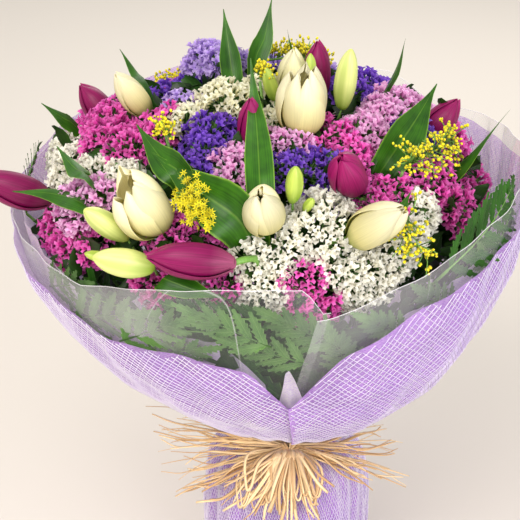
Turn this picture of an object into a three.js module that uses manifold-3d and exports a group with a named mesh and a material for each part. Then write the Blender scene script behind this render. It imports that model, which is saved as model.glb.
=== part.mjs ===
// A mixed flower bouquet, hand tied in a spiral, in clear film and a lilac net, bound with raffia.
// Millimetres, +Z up. It stands on its cut stems, the viewer is on the -Y side, and the origin
// is on the floor under the tie, at the cut end of the middle stem.
import * as THREE from "three";
import { ConvexGeometry } from "three/addons/geometries/ConvexGeometry.js";
import { mergeVertices } from "three/addons/utils/BufferGeometryUtils.js";
import Module from "manifold-3d";

const wasm = await Module();
wasm.setup();
const { Manifold } = wasm;

// Driving dimensions
const tieHeight = 150; // from the floor to the raffia
const neckPitch = 6.2; // between stems that are pressed together at the tie
const footSpread = 2.2; // how much further apart the cut ends stand than the stems at the tie
const spiralAtNeck = 18; // degrees that a stem has turned round when it reaches the tie
const spiralAtFoot = 75; // and when it reaches the floor
const gap = 1.1; // air kept between pieces that lie against each other
const dome = { x: -20, z: 345, radius: 185, rise: 113, drop: 75 }; // the flowers' outer face
const floretPitch = 30; // a drawn statice floret stands for a tuft of real ones
const floretRise = 5.5;
const firmHold = 80; // cubic millimetres that two crests share where one holds the other
const fewestFlorets = 6; // round a small crest, those at its back left out
const plumePitch = 14; // and a drawn goldenrod floret for a cluster of them
const plumeRise = 3;
const plumeStep = 17; // between the lumps along a goldenrod twig
const fullness = 1.1; // crests press together, so each is made a little wider than its place
const crumb = 1; // cuts leave edges shorter than this, which are merged
const thinCrumb = 0.4; // the same on leaves and fronds, whose two faces would otherwise cross
const stemSides = 5;
const leafThickness = 1.2;

const colours = {
  pink: 0xd843b4,
  rose: 0xeda0dc,
  violet: 0x5a2ca6,
  lilac: 0xb48ae4,
  white: 0xf2f0ea,
  cream: 0xf5f1cf,
  magenta: 0x9b2069,
  creamTulip: 0xefebc8,
  bud: 0xcfdc7c,
  yellow: 0xf2d20f,
  leaf: 0x3f8a2a,
  fern: 0x235a22,
  net: 0xc09be6,
  film: 0xdfe4e4,
  raffia: 0xe6bd82,
};

const root = new THREE.Group();
const cleared = []; // grown outlines of the pieces made so far, which later pieces stay out of

// Small vector and number helpers
const vec = (x, y, z) => new THREE.Vector3(x, y, z);
const rad = THREE.MathUtils.degToRad;
const lerp = THREE.MathUtils.lerp;
const smooth = (x, low, high) => THREE.MathUtils.smoothstep(x, low, high);

function seeded(seed) {
  let state = seed;
  return () => {
    state = (state * 1664525 + 1013904223) % 4294967296;
    return state / 4294967296;
  };
}

// Reads a curve given by a few [place, value] corners
function along(corners, place) {
  if (place <= corners[0][0]) return corners[0][1];
  for (let i = 1; i < corners.length; i++)
    if (place <= corners[i][0]) {
      const [p0, v0] = corners[i - 1];
      const [p1, v1] = corners[i];
      return lerp(v0, v1, (place - p0) / (p1 - p0));
    }
  return corners.at(-1)[1];
}

// Side is the bearing round the dome, 0 towards the viewer and growing to the right,
// tilt is the angle down from its top, and lift is how far it stands out of the dome
function onDome(side, tilt, lift = 0) {
  const s = rad(side);
  const t = rad(tilt);
  const height = tilt <= 90 ? dome.rise : dome.drop;
  const reach = (dome.radius + lift) * Math.sin(t);
  return vec(dome.x + reach * Math.sin(s), -reach * Math.cos(s), dome.z + (height + lift) * Math.cos(t));
}

function outward(side, tilt) {
  const height = tilt <= 90 ? dome.rise : dome.drop;
  const s = rad(side);
  const t = rad(tilt);
  const flat = Math.sin(t) / dome.radius;
  return vec(flat * Math.sin(s), -flat * Math.cos(s), Math.cos(t) / height).normalize();
}

// Three axes at right angles, with the last along the given direction
function axesAlong(direction, up = vec(0, 0, 1)) {
  const w = direction.clone().normalize();
  const steady = Math.abs(w.dot(up)) > 0.96 ? vec(0, -1, 0) : up;
  const u = steady.clone().cross(w).normalize();
  return new THREE.Matrix4().makeBasis(u, w.clone().cross(u), w);
}

// Solids
function solidFrom(points, faces) {
  const vertProperties = new Float32Array(points.length * 3);
  points.forEach((p, i) => p.toArray(vertProperties, i * 3));
  return new Manifold(new wasm.Mesh({ numProp: 3, vertProperties, triVerts: new Uint32Array(faces) }));
}

// A geometry's corners, each kept once
function welded(geometry) {
  const plain = geometry.index ? geometry.toNonIndexed() : geometry.clone();
  plain.deleteAttribute("normal");
  plain.deleteAttribute("uv");
  return mergeVertices(plain, 1e-4);
}

function solidOf(geometry) {
  const { index, attributes } = welded(geometry);
  const vertProperties = attributes.position.array;
  return new Manifold(new wasm.Mesh({ numProp: 3, vertProperties, triVerts: new Uint32Array(index.array) }));
}

// A closed skin over rings that all have the same count of points, with a middle point at each
// end; the last one may be moved, as for a hollow top
function loft(rings, sink = vec(0, 0, 0)) {
  const n = rings[0].length;
  const points = rings.flat();
  const faces = [];
  for (let r = 0; r + 1 < rings.length; r++)
    for (let i = 0; i < n; i++) {
      const a = r * n + i;
      const b = r * n + ((i + 1) % n);
      faces.push(a, b, b + n, a, b + n, a + n);
    }
  const middle = (ring) => ring.reduce((sum, p) => sum.add(p), vec(0, 0, 0)).divideScalar(n);
  const foot = points.push(middle(rings[0])) - 1;
  const head = points.push(middle(rings.at(-1)).add(sink)) - 1;
  const last = (rings.length - 1) * n;
  for (let i = 0; i < n; i++) {
    const j = (i + 1) % n;
    faces.push(foot, j, i, head, last + i, last + j);
  }
  return solidFrom(points, faces);
}

// A thin slab under an open surface, split into triangles alike on both faces
function slab(points, faces, thickness) {
  const n = points.length;
  const normals = points.map(() => vec(0, 0, 0));
  const edges = new Set();
  for (let i = 0; i < faces.length; i += 3) {
    const [a, b, c] = faces.slice(i, i + 3);
    const across = points[b].clone().sub(points[a]).cross(points[c].clone().sub(points[a]));
    for (const corner of [a, b, c]) normals[corner].add(across);
    for (const [p, q] of [[a, b], [b, c], [c, a]]) edges.add(p * n + q);
  }
  const under = points.map((p, i) => p.clone().addScaledVector(normals[i].normalize(), -thickness));
  const all = [...faces];
  for (let i = 0; i < faces.length; i += 3) all.push(faces[i] + n, faces[i + 2] + n, faces[i + 1] + n);
  for (const edge of edges) {
    const a = Math.floor(edge / n);
    const b = edge % n;
    if (!edges.has(b * n + a)) all.push(a, a + n, b + n, a, b + n, b);
  }
  return solidFrom([...points, ...under], all);
}

// The same for a grid of rows that all have the same count of points
function gridSlab(rows, thickness) {
  const n = rows[0].length;
  const faces = [];
  for (let r = 0; r + 1 < rows.length; r++)
    for (let i = 0; i + 1 < n; i++) {
      const a = r * n + i;
      faces.push(a, a + 1, a + n + 1, a, a + n + 1, a + n);
    }
  return slab(rows.flat(), faces, thickness);
}

// A round stalk along a route, with a level end where it meets the floor
function stalk(route, radii, sides = stemSides) {
  const runs = route.map((p, i) => {
    const before = route[Math.max(i - 1, 0)];
    const after = route[Math.min(i + 1, route.length - 1)];
    return i === 0 && p.z === 0 ? vec(0, 0, 1) : after.clone().sub(before).normalize();
  });
  const nearest = (axis) => Math.max(...runs.map((run) => Math.abs(run.dot(axis))));
  const aside = [vec(1, 0, 0), vec(0, 1, 0), vec(0, 0, 1)].sort((a, b) => nearest(a) - nearest(b))[0];
  const rings = route.map((p, i) => {
    const run = runs[i];
    const u = aside.clone().addScaledVector(run, -run.dot(aside)).normalize();
    const v = run.clone().cross(u);
    return Array.from({ length: sides }, (_, k) => {
      const turn = (k / sides) * 2 * Math.PI;
      return p.clone().addScaledVector(u, radii[i] * Math.cos(turn)).addScaledVector(v, radii[i] * Math.sin(turn));
    });
  });
  return loft(rings);
}

const ball = solidOf(new THREE.OctahedronGeometry(1, 1));

function ellipsoid(centre, axes, a, b, c) {
  const place = axes.clone().scale(vec(a, b, c)).setPosition(centre);
  return ball.transform(place.toArray());
}

// The room that a rounded piece takes up, for cutting others clear of it
const roomFor = (centre, axes, a, b, c) => ellipsoid(centre, axes, a * 1.1, b * 1.1, c * 1.1);

const biggest = (solid) => solid.decompose().sort((a, b) => b.volume() - a.volume())[0];

// Cuts a piece clear of all that was made before
function cut(solid) {
  let left = solid;
  for (const other of cleared) left = left.subtract(other);
  return left;
}

function clearOf(solid, merge = crumb) {
  const left = cut(solid);
  return left.volume() > solid.volume() - 0.01 ? solid : biggest(biggest(left).simplify(merge));
}

// Makes a piece in one way after another until its neighbours cut nothing off
function clearest(ways, make, merge = crumb) {
  let best = null;
  for (const way of ways) {
    if (best && best.lost < 1) break;
    const left = cut(make(way));
    const held = biggest(left);
    const lost = left.volume() - held.volume();
    if (!best || lost < best.lost - 1) best = { lost, way, held };
  }
  return { way: best.way, body: biggest(best.held.simplify(merge)) };
}

// Level and square to the way from one point to another
const sideways = (from, to) => vec(from.y - to.y, to.x - from.x, 0).normalize();

// Forks a stem higher or lower and more to one side, with straight or bowed twigs
function clearFork(place, mean, make, merge = crumb) {
  const neck = neckPoint(place);
  const aside = sideways(neck, mean);
  const ways = [0, -9, 9].flatMap((swing) => [0, 0.12, 0.3].flatMap((bow) =>
    [0.6, 0.5, 0.7, 0.42, 0.78, 0.35, 0.85].map((share) =>
      ({ at: neck.clone().lerp(mean, share).addScaledVector(aside, swing), bow }))));
  const { way, body } = clearest(ways, make, merge);
  return { fork: way, body };
}

function add(name, solid, colour, roughness = 0.75) {
  const mesh = solid.getMesh();
  const position = new Float32Array(mesh.numVert * 3);
  for (let i = 0; i < mesh.numVert; i++)
    position.set(mesh.vertProperties.subarray(i * mesh.numProp, i * mesh.numProp + 3), i * 3);
  const geometry = new THREE.BufferGeometry();
  geometry.setAttribute("position", new THREE.BufferAttribute(position, 3));
  geometry.setIndex(new THREE.BufferAttribute(mesh.triVerts, 1));
  geometry.computeVertexNormals();
  const material = new THREE.MeshStandardMaterial({ color: colour, roughness, metalness: 0 });
  const piece = new THREE.Mesh(geometry, material);
  piece.name = name;
  root.add(piece);
}

// Places at the tie: one in the middle, then rings of 6, 12, 18 and so on, filled from the
// top of the dome outwards so that no two stems cross on their way up
const bunch = [];
function seat(side, tilt) {
  const place = { side, tilt };
  bunch.push(place);
  return place;
}

function settleNeck() {
  const sorted = [...bunch].sort((a, b) => a.tilt - b.tilt);
  let ring = 0;
  let start = 0;
  while (start < sorted.length) {
    const size = Math.min(ring === 0 ? 1 : 6 * ring, sorted.length - start);
    const members = sorted.slice(start, start + size).sort((a, b) => a.side - b.side);
    const lead = members.reduce((sum, m, i) => sum + m.side - (360 * i) / size, 0) / size;
    members.forEach((m, i) => {
      m.ring = ring;
      m.turn = lead + (360 * i) / size;
    });
    start += size;
    ring += 1;
  }
}

function neckPoint(place) {
  const turn = rad(place.turn + spiralAtNeck);
  const reach = neckPitch * place.ring;
  return vec(reach * Math.sin(turn), -reach * Math.cos(turn), tieHeight);
}

function footPoint(place) {
  const turn = rad(place.turn + spiralAtFoot);
  const reach = neckPitch * place.ring * footSpread;
  return vec(reach * Math.sin(turn), -reach * Math.cos(turn), 0);
}

// A stem from the floor through the tie to a point under its flower
function mainStem(place, top, radius, grow = 0) {
  const r = radius + grow;
  return stalk([footPoint(place), neckPoint(place), top], [r * 1.15, r, r * 0.85]);
}

// The recipe. at is where a flower's middle stands on the dome and aim the way that it looks,
// both as side and tilt; leaves go through points in millimetres, widest at half
const tulips = [
  { name: "magenta_left", colour: "magenta", at: [-80, 73, 20], aim: [-84, 68], long: 60, wide: 28, open: 0.1,
    leaves: [{ through: [[-144, -121, 393], [-171, -97, 394], [-204, -82, 390]], half: 8 },
      { through: [[-142, -106, 408], [-157, -92, 413], [-173, -57, 416]], half: 8 }] },
  { name: "magenta_front", colour: "magenta", at: [-15, 73, 17], aim: [-88, 84], long: 62, wide: 27, open: 0,
    leaves: [{ through: [[-90, -170, 361], [-70, -184, 360], [-46, -186, 353]], half: 9 }] },
  { name: "magenta_top", colour: "magenta", at: [92, 15, 16], aim: [0, 4], long: 54, wide: 22, open: 0,
    leaves: [{ through: [[8, 26, 446], [2, 30, 462], [-1, 32, 478]], half: 6 }] },
  { name: "magenta_right", colour: "magenta", at: [24, 49, 8], aim: [-20, 40], long: 50, wide: 28, open: 0.3,
    leaves: [{ through: [[57, -150, 397], [74, -147, 401], [84, -134, 411]], half: 8 }] },
  { name: "magenta_far_right", colour: "magenta", at: [88, 49, 10], aim: [86, 34], long: 54, wide: 24, open: 0,
    leaves: [{ through: [[112, -52, 384], [134, -56, 408], [164, -44, 440]], half: 11 }] },
  { name: "magenta_inner", colour: "magenta", at: [-6, 27, -4], aim: [0, 14], long: 48, wide: 20, open: 0,
    leaves: [{ through: [[-42, -2, 444], [-46, 14, 470], [-50, 26, 496]], half: 8 }] },
  { name: "magenta_far_left", colour: "magenta", at: [-108, 47, 6], aim: [-104, 40], long: 50, wide: 24, open: 0,
    leaves: [{ through: [[-164, 22, 398], [-176, 18, 410], [-192, 14, 424]], half: 7 }] },
  { name: "cream_left", colour: "creamTulip", at: [-33, 57, 18], aim: [-52, 38], long: 56, wide: 42, open: 0.8,
    leaves: [{ through: [[-74, -136, 420], [-92, -121, 432], [-111, -86, 444]], half: 12 }] },
  { name: "cream_top", colour: "creamTulip", at: [26, 21, 14], aim: [20, 10], long: 56, wide: 40, open: 0.8,
    leaves: [{ through: [[-26, 8, 450], [-18, 22, 476], [-13, 32, 502]], half: 8 }] },
  { name: "cream_behind", colour: "creamTulip", at: [64, 12, 18], aim: [30, 6], long: 52, wide: 24, open: 0,
    leaves: [{ through: [[74, 16, 432], [84, 20, 452], [90, 22, 474]], half: 7 }] },
  { name: "cream_right", colour: "creamTulip", at: [26, 65, 14], aim: [58, 52], long: 54, wide: 34, open: 0.5,
    leaves: [{ through: [[72, -88, 418], [90, -66, 436], [110, -32, 456]], half: 15 }] },
  { name: "cream_centre", colour: "creamTulip", at: [0, 58, 12], aim: [-10, 34], long: 46, wide: 30, open: 0.4,
    leaves: [{ through: [[-34, -166, 400], [-61, -153, 418], [-99, -115, 434]], half: 19 },
      { through: [[-21, -157, 412], [-24, -110, 447], [-29, -26, 474]], half: 10 }] },
  { name: "cream_far_left", colour: "creamTulip", at: [-86, 33, 10], aim: [-80, 34], long: 44, wide: 22, open: 0,
    leaves: [{ through: [[-106, 8, 436], [-118, 14, 450], [-130, 20, 466]], half: 8 }] },
];

const lilies = [
  { name: "lily_buds_centre", under: [2, 54, -20],
    buds: [[8, 51, 14, 34, 14, 10, 20], [-3, 56, 2, 18, 8, -20, 30], [12, 56, 0, 18, 8, 30, 40]] },
  { name: "lily_buds_left", under: [-38, 72, -20],
    buds: [[-40, 68, 12, 44, 18, -62, 52], [-32, 77, 16, 46, 20, -76, 74], [-40, 80, 6, 20, 9, -80, 70]] },
  { name: "lily_buds_top", under: [58, 16, -20],
    buds: [[70, 21, 16, 50, 18, 60, 8], [48, 14, 16, 28, 10, 0, 10], [22, 13, 6, 30, 12, -40, 20]] },
];

const goldenrods = [
  { name: "goldenrod_front_left",
    plumes: [[[-19, 53, 9], [-17, 57, 12], [-13, 62, 12]], [[-40, 36, 6], [-34, 38, 8]]] },
  { name: "goldenrod_top",
    plumes: [[[180, 14, 8], [150, 18, 12], [118, 17, 10]], [[-4, 9, 6], [6, 12, 8]]] },
  { name: "goldenrod_right",
    plumes: [[[44, 49, 14], [54, 47, 16], [66, 48, 16], [78, 49, 14]], [[36, 65, 10], [33, 71, 12], [38, 76, 12]]] },
  { name: "goldenrod_back_left",
    plumes: [[[-94, 84, 8], [-88, 84, 8]], [[-156, 60, 10], [-146, 62, 12]], [[152, 88, 4], [146, 82, 6]]] },
];

// A crest is side, tilt, radius and, where it stands out of the dome, its lift
const statices = [
  { name: "pink_left", colour: "pink", crests: [[-93, 45, 20], [-76, 47, 24], [-61, 43, 20], [-57, 29, 19]] },
  { name: "pink_low_left", colour: "pink", crests: [[-71, 95, 18, -4], [-58, 87, 18, -2], [-48, 79, 14], [-27, 91, 18, -4], [-18, 96, 14, -5]] },
  { name: "pink_front", colour: "pink", crests: [[-25, 69, 16], [-12, 60, 14], [-9, 84, 12], [10, 83, 19], [14, 93, 18, -3], [9, 102, 13, -3]] },
  { name: "pink_upper_right", colour: "pink", crests: [[36, 31, 18], [34, 41, 20], [31, 57, 11]] },
  { name: "pink_right", colour: "pink", crests: [[41, 56, 16], [56, 57, 20], [66, 63, 18], [62, 72, 15], [98, 61, 22], [92, 82, 19, -2], [114, 80, 24]] },
  { name: "rose_centre", colour: "rose", crests: [[-12, 41, 24], [5, 32, 15], [15, 31, 13]] },
  { name: "rose_left", colour: "rose", crests: [[-52, 67, 19], [-47, 61, 15]] },
  { name: "rose_right", colour: "rose", crests: [[54, 33, 17], [82, 34, 19], [106, 42, 25], [122, 62, 25]] },
  { name: "violet_left", colour: "violet", crests: [[-30, 27, 16], [-26, 37, 17], [-22, 46, 13]] },
  { name: "violet_centre", colour: "violet", crests: [[7, 41, 14], [16, 41, 16], [25, 41, 12]] },
  { name: "violet_right", colour: "violet", crests: [[100, 23, 17], [76, 43, 18], [132, 41, 24], [134, 84, 24, -2]] },
  { name: "lilac_top", colour: "lilac", crests: [[-146, 25, 19, 14], [-138, 14, 17, 12], [-68, 22, 13], [-178, 38, 26, 2], [156, 41, 24]] },
  { name: "white_left", colour: "white", crests: [[-78, 62, 19], [-62, 57, 17], [-49, 53, 14], [-100, 68, 20]] },
  { name: "white_front", colour: "white", crests: [[17, 63, 27, 6], [5, 69, 18, 2], [-3, 74, 15], [0, 84, 19], [-14, 91, 12, -3]] },
  { name: "white_right", colour: "white", crests: [[19, 80, 18], [28, 86, 20, -2], [24, 93, 15, -4], [34, 78, 16], [46, 65, 16], [40, 72, 12]] },
  { name: "cream_top", colour: "cream", crests: [[-42, 14, 19, 6], [10, 3, 14, 2], [-49, 26, 12], [8, 22, 12]] },
  { name: "pink_back", colour: "pink", crests: [[-152, 66, 26], [-134, 64, 26], [-117, 64, 24], [-148, 86, 22, -2], [-130, 86, 22, -2], [-112, 84, 22]] },
  { name: "white_back", colour: "white", crests: [[160, 61, 28], [-176, 60, 28], [152, 84, 22, -2], [172, 84, 25, -2], [-167, 84, 25, -2]] },
  { name: "violet_back", colour: "violet", crests: [[-154, 44, 26], [-128, 42, 24], [-108, 37, 17]] },
];

// A frond is where it starts, where its tip lies and its width, with both places on the dome
const ferns = [
  { name: "fern_right", fronds: [[[46, 90, 3], [76, 78, 8], 50], [[82, 86, 3], [94, 62, 10], 44]] },
  { name: "fern_left", fronds: [[[-34, 102, 0], [-60, 101, 2], 34], [[-84, 90, 0], [-98, 70, 5], 40]] },
  { name: "fern_front", fronds: [[[4, 97, 1], [-22, 91, 3], 34]] },
  { name: "fern_low_left", fronds: [[[-8, 108, 0], [-36, 110, 2], 30]] },
  { name: "fern_back", fronds: [[[150, 102, 0], [116, 98, 1], 42], [[-140, 104, -1], [-110, 99, 0], 40]] },
];

for (const group of [tulips, lilies, goldenrods, statices, ferns])
  for (const flower of group) {
    const places = flower.crests ?? flower.buds ?? flower.plumes?.flat() ?? flower.fronds?.map((f) => f[0]) ?? [flower.at];
    const mean = places.reduce((sum, [side, tilt]) => sum.add(onDome(side, tilt)), vec(0, 0, 0));
    mean.divideScalar(places.length).sub(vec(dome.x, 0, dome.z - 60));
    const side = THREE.MathUtils.radToDeg(Math.atan2(mean.x, -mean.y));
    flower.place = seat(side, THREE.MathUtils.radToDeg(Math.atan2(Math.hypot(mean.x, mean.y), mean.z)));
    flower.mean = mean.add(vec(dome.x, 0, dome.z - 60));
  }
settleNeck();

const direction = ([side, tilt]) => {
  const s = rad(side);
  const t = rad(tilt);
  return vec(Math.sin(t) * Math.sin(s), -Math.sin(t) * Math.cos(s), Math.cos(t));
};

// A tulip: three outer petals that stand proud of the inner three, hollow where it is open
function tulipCup(foot, aim, long, wide, open) {
  const profile = [[0, 0.36], [0.28, 0.97], [0.68, lerp(0.86, 1, open)], [0.98, lerp(0.16, 0.78, open)]];
  const spans = [54, 55, 44, 13];
  const axes = axesAlong(aim);
  const step = 1.5;
  const rings = profile.map(([up, share], row) => {
    const ring = [];
    const outer = Math.max((share * wide) / 2, 2.4);
    for (let petal = 0; petal < 3; petal++) {
      const middle = petal * 120;
      const span = spans[row];
      for (const part of [-1, -0.38, 0.38, 1]) ring.push([middle + part * span, outer, up * long]);
      const inner = outer - step;
      const high = (up - (row > 1 ? 0.04 : 0)) * long;
      ring.push([middle + span + 0.2, inner, high], [middle + 119.8 - span, inner, high]);
    }
    return ring.map(([turn, reach, high]) =>
      vec(reach * Math.cos(rad(turn)), reach * Math.sin(rad(turn)), high).applyMatrix4(axes).add(foot));
  });
  return loft(rings, aim.clone().multiplyScalar(-0.6 * open * long));
}

// A leaf blade along a route, narrow where it leaves the stem and widest in its outer half
function leafBlade(route, half, grow = 0) {
  const curve = new THREE.CatmullRomCurve3(route);
  const steps = 5;
  const heart = vec(dome.x, 0, dome.z - 40);
  const over = vec(0, 0, 0);
  const rows = Array.from({ length: steps + 1 }, (_, i) => {
    const t = i / steps;
    const p = curve.getPoint(t);
    const run = curve.getTangent(t);
    const across = run.clone().cross(p.clone().sub(heart).normalize());
    if (across.dot(over) < 0) across.negate();
    over.addScaledVector(run, -over.dot(run)).add(across).normalize();
    const up = over.clone().cross(run).normalize();
    const wide = lerp(1.6, half, smooth(t, 0.1, 0.6)) * (1 - smooth(t, 0.62, 1.02)) + 0.5 + grow;
    const fold = 0.32 * wide;
    return [
      p.clone().addScaledVector(over, -wide).addScaledVector(up, fold + grow),
      p.clone().addScaledVector(up, grow),
      p.clone().addScaledVector(over, wide).addScaledVector(up, fold + grow),
    ];
  });
  return gridSlab(rows, leafThickness + 2 * grow);
}

function makeTulips() {
  for (const tulip of tulips) {
    const aim = direction(tulip.aim);
    tulip.foot = onDome(...tulip.at).addScaledVector(aim, -tulip.long * 0.5);
    const bloom = tulipCup(tulip.foot, aim, tulip.long, tulip.wide, tulip.open);
    add("tulip_" + tulip.name, clearOf(bloom), colours[tulip.colour], 0.5);
    const middle = tulip.foot.clone().addScaledVector(aim, tulip.long * 0.5);
    const girth = tulip.wide / 2 + 3;
    cleared.push(roomFor(middle, axesAlong(aim), girth, girth, tulip.long * 0.5 + 4));
  }
  const ways = [0, -8, 8, -14, 14].flatMap((swing) => [0.62, 0.75, 0.5, 0.86].map((share) => ({ swing, share })));
  for (const tulip of tulips) {
    const out = outward(tulip.at[0], tulip.at[1]);
    const neck = neckPoint(tulip.place);
    const make = ({ swing, share }, grow = 0) => {
      const under = tulip.foot.clone().addScaledVector(direction(tulip.aim), -12).addScaledVector(out, -22);
      under.addScaledVector(sideways(neck, under), swing);
      const leaves = tulip.leaves.map(({ through, half }) => {
        const points = through.map((p) => vec(...p));
        const low = neck.clone().lerp(under, share);
        const inner = low.clone().lerp(points[0], 0.55).addScaledVector(out, -8);
        return leafBlade([low, inner, ...points], half, grow);
      });
      const r = 2.5 + grow;
      const stem = stalk([footPoint(tulip.place), neck, under, tulip.foot], [r * 1.2, r, r, r]);
      return Manifold.union([stem, ...leaves]);
    };
    const { way, body } = clearest(ways, make, thinCrumb);
    add("tulip_stem_" + tulip.name, body, colours.leaf);
    cleared.push(make(way, gap));
  }
}

// A pointed bud with three ribs
function lilyBud(foot, aim, long, wide) {
  const axes = axesAlong(aim);
  const rings = [[0, 0.34], [0.3, 0.92], [0.7, 0.95], [1, 0.16]].map(([up, share]) =>
    Array.from({ length: 6 }, (_, i) => {
      const reach = (wide / 2) * share * (i % 2 ? 0.82 : 1);
      const turn = (i * Math.PI) / 3;
      return vec(reach * Math.cos(turn), reach * Math.sin(turn), up * long).applyMatrix4(axes).add(foot);
    }));
  return loft(rings);
}

// The main stem up to the fork, then a twig to each of its ends
function branched(place, fork, ends, radius, twig, grow = 0) {
  const stem = mainStem(place, fork.at, radius, grow);
  const start = fork.at.clone().lerp(neckPoint(place), 0.02);
  const r = twig + grow;
  const twigs = ends.map((end) => {
    if (!fork.bow) return stalk([start, end], [r, r], 3);
    const bend = start.clone().lerp(end, 0.55).addScaledVector(end.clone().sub(start).setZ(0), fork.bow);
    return stalk([start, bend, end], [r, r, r], 3);
  });
  return Manifold.union([stem, ...twigs]);
}

function makeLilies() {
  for (const lily of lilies) {
    const buds = lily.buds.map(([side, tilt, lift, long, wide, toSide, toTilt]) => {
      const aim = direction([toSide, toTilt]);
      return { aim, long, wide, foot: onDome(side, tilt, lift).addScaledVector(aim, -long / 2) };
    });
    const ends = buds.map((bud) => bud.foot.clone().addScaledVector(bud.aim, 3));
    const solids = buds.map((bud) => lilyBud(bud.foot, bud.aim, bud.long, bud.wide));
    const make = (split) => Manifold.union([branched(lily.place, split, ends, 2.4, 1.4), ...solids]);
    const { fork, body } = clearFork(lily.place, onDome(...lily.under), make);
    add(lily.name, body, colours.bud, 0.5);
    cleared.push(branched(lily.place, fork, ends, 2.4, 1.4, gap));
    for (const bud of buds) {
      const middle = bud.foot.clone().addScaledVector(bud.aim, bud.long / 2);
      cleared.push(roomFor(middle, axesAlong(bud.aim), bud.wide / 2 + 1.5, bud.wide / 2 + 1.5, bud.long / 2 + 3));
    }
  }
}

// A dense lump of funnel florets: each point is a floret's throat, and each facet between the
// throats rises to where the tips of three florets meet
function floretLump(centre, out, across, deep, seed, pitch = floretPitch, rise = floretRise) {
  const axes = axesAlong(out).setPosition(centre);
  const random = seeded(seed);
  const mean = (across * 2 + deep) / 3;
  const count = Math.max(fewestFlorets, Math.round((4 * Math.PI * mean * mean) / (pitch * pitch * 0.866)));
  const twist = Math.PI * (3 - Math.sqrt(5));
  const throats = [vec(0, 0, -deep * 0.8)];
  for (let i = 0; i < count; i++) {
    const high = 1 - (2 * (i + 0.5)) / count;
    if (high < -0.45) continue;
    const reach = Math.sqrt(1 - high * high);
    const turn = i * twist + seed + 0.3 * random();
    const grow = 0.92 + 0.16 * random();
    throats.push(vec(across * reach * Math.cos(turn), across * reach * Math.sin(turn), deep * high).multiplyScalar(grow));
  }
  const skin = welded(new ConvexGeometry(throats));
  const corners = skin.attributes.position;
  const points = Array.from({ length: corners.count }, (_, i) => vec(0, 0, 0).fromBufferAttribute(corners, i));
  const faces = [];
  for (let i = 0; i < skin.index.count; i += 3) {
    const [a, b, c] = skin.index.array.slice(i, i + 3);
    const middle = points[a].clone().add(points[b]).add(points[c]).divideScalar(3);
    if (middle.z < -deep * 0.3) {
      faces.push(a, b, c);
      continue;
    }
    const up = points[b].clone().sub(points[a]).cross(points[c].clone().sub(points[a])).normalize();
    const tip = points.push(middle.addScaledVector(up, rise * (0.7 + 0.6 * random()))) - 1;
    faces.push(a, b, tip, b, c, tip, c, a, tip);
  }
  return solidFrom(points.map((p) => p.applyMatrix4(axes)), faces);
}

function crestsOf(flower, seed) {
  return flower.crests.map(([side, tilt, width, lift = 0], i) => {
    const radius = width * fullness;
    const deep = radius * 0.72;
    const out = outward(side, tilt);
    const centre = onDome(side, tilt, lift - floretRise).addScaledVector(out, -deep);
    return { flower, out, deep, radius, centre, seed: seed + i * 7 };
  });
}

// Crests of two flowers that press together meet in a flat face
function pressed(lump, crest, others) {
  let left = lump;
  for (const other of others) {
    const apart = crest.centre.distanceTo(other.centre);
    if (other.flower === crest.flower || apart > crest.radius + other.radius + 2 * floretRise) continue;
    const away = crest.centre.clone().sub(other.centre).normalize();
    const share = crest.radius / (crest.radius + other.radius);
    const face = crest.centre.clone().addScaledVector(away, gap / 2 - apart * share);
    left = left.trimByPlane(away.toArray(), face.dot(away));
  }
  return left;
}

function makeStatices() {
  const every = statices.map((flower, row) => crestsOf(flower, 11 + row * 31));
  const others = every.flat();
  statices.forEach((flower, row) => {
    const crests = every[row];
    const mean = crests.reduce((sum, c) => sum.add(c.centre), vec(0, 0, 0)).divideScalar(crests.length);
    const lumps = crests.map((c) => pressed(floretLump(c.centre, c.out, c.radius, c.deep, c.seed), c, others));
    const held = lumps.map((lump, i) => lumps.slice(0, i).some((other) => cut(lump.intersect(other)).volume() > firmHold));
    const ends = crests.filter((c, i) => !held[i]).map((c) => c.centre);
    const make = (split) => Manifold.union([branched(flower.place, split, ends, 2.1, 1.3), ...lumps]);
    const { fork, body } = clearFork(flower.place, mean, make);
    add("statice_" + flower.name, body, colours[flower.colour], 0.9);
    cleared.push(branched(flower.place, fork, ends, 2.1, 1.3, gap));
  });
  for (const c of others) {
    const girth = c.radius + floretRise + gap;
    cleared.push(roomFor(c.centre, axesAlong(c.out), girth, girth, c.deep + floretRise + gap));
  }
}

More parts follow.
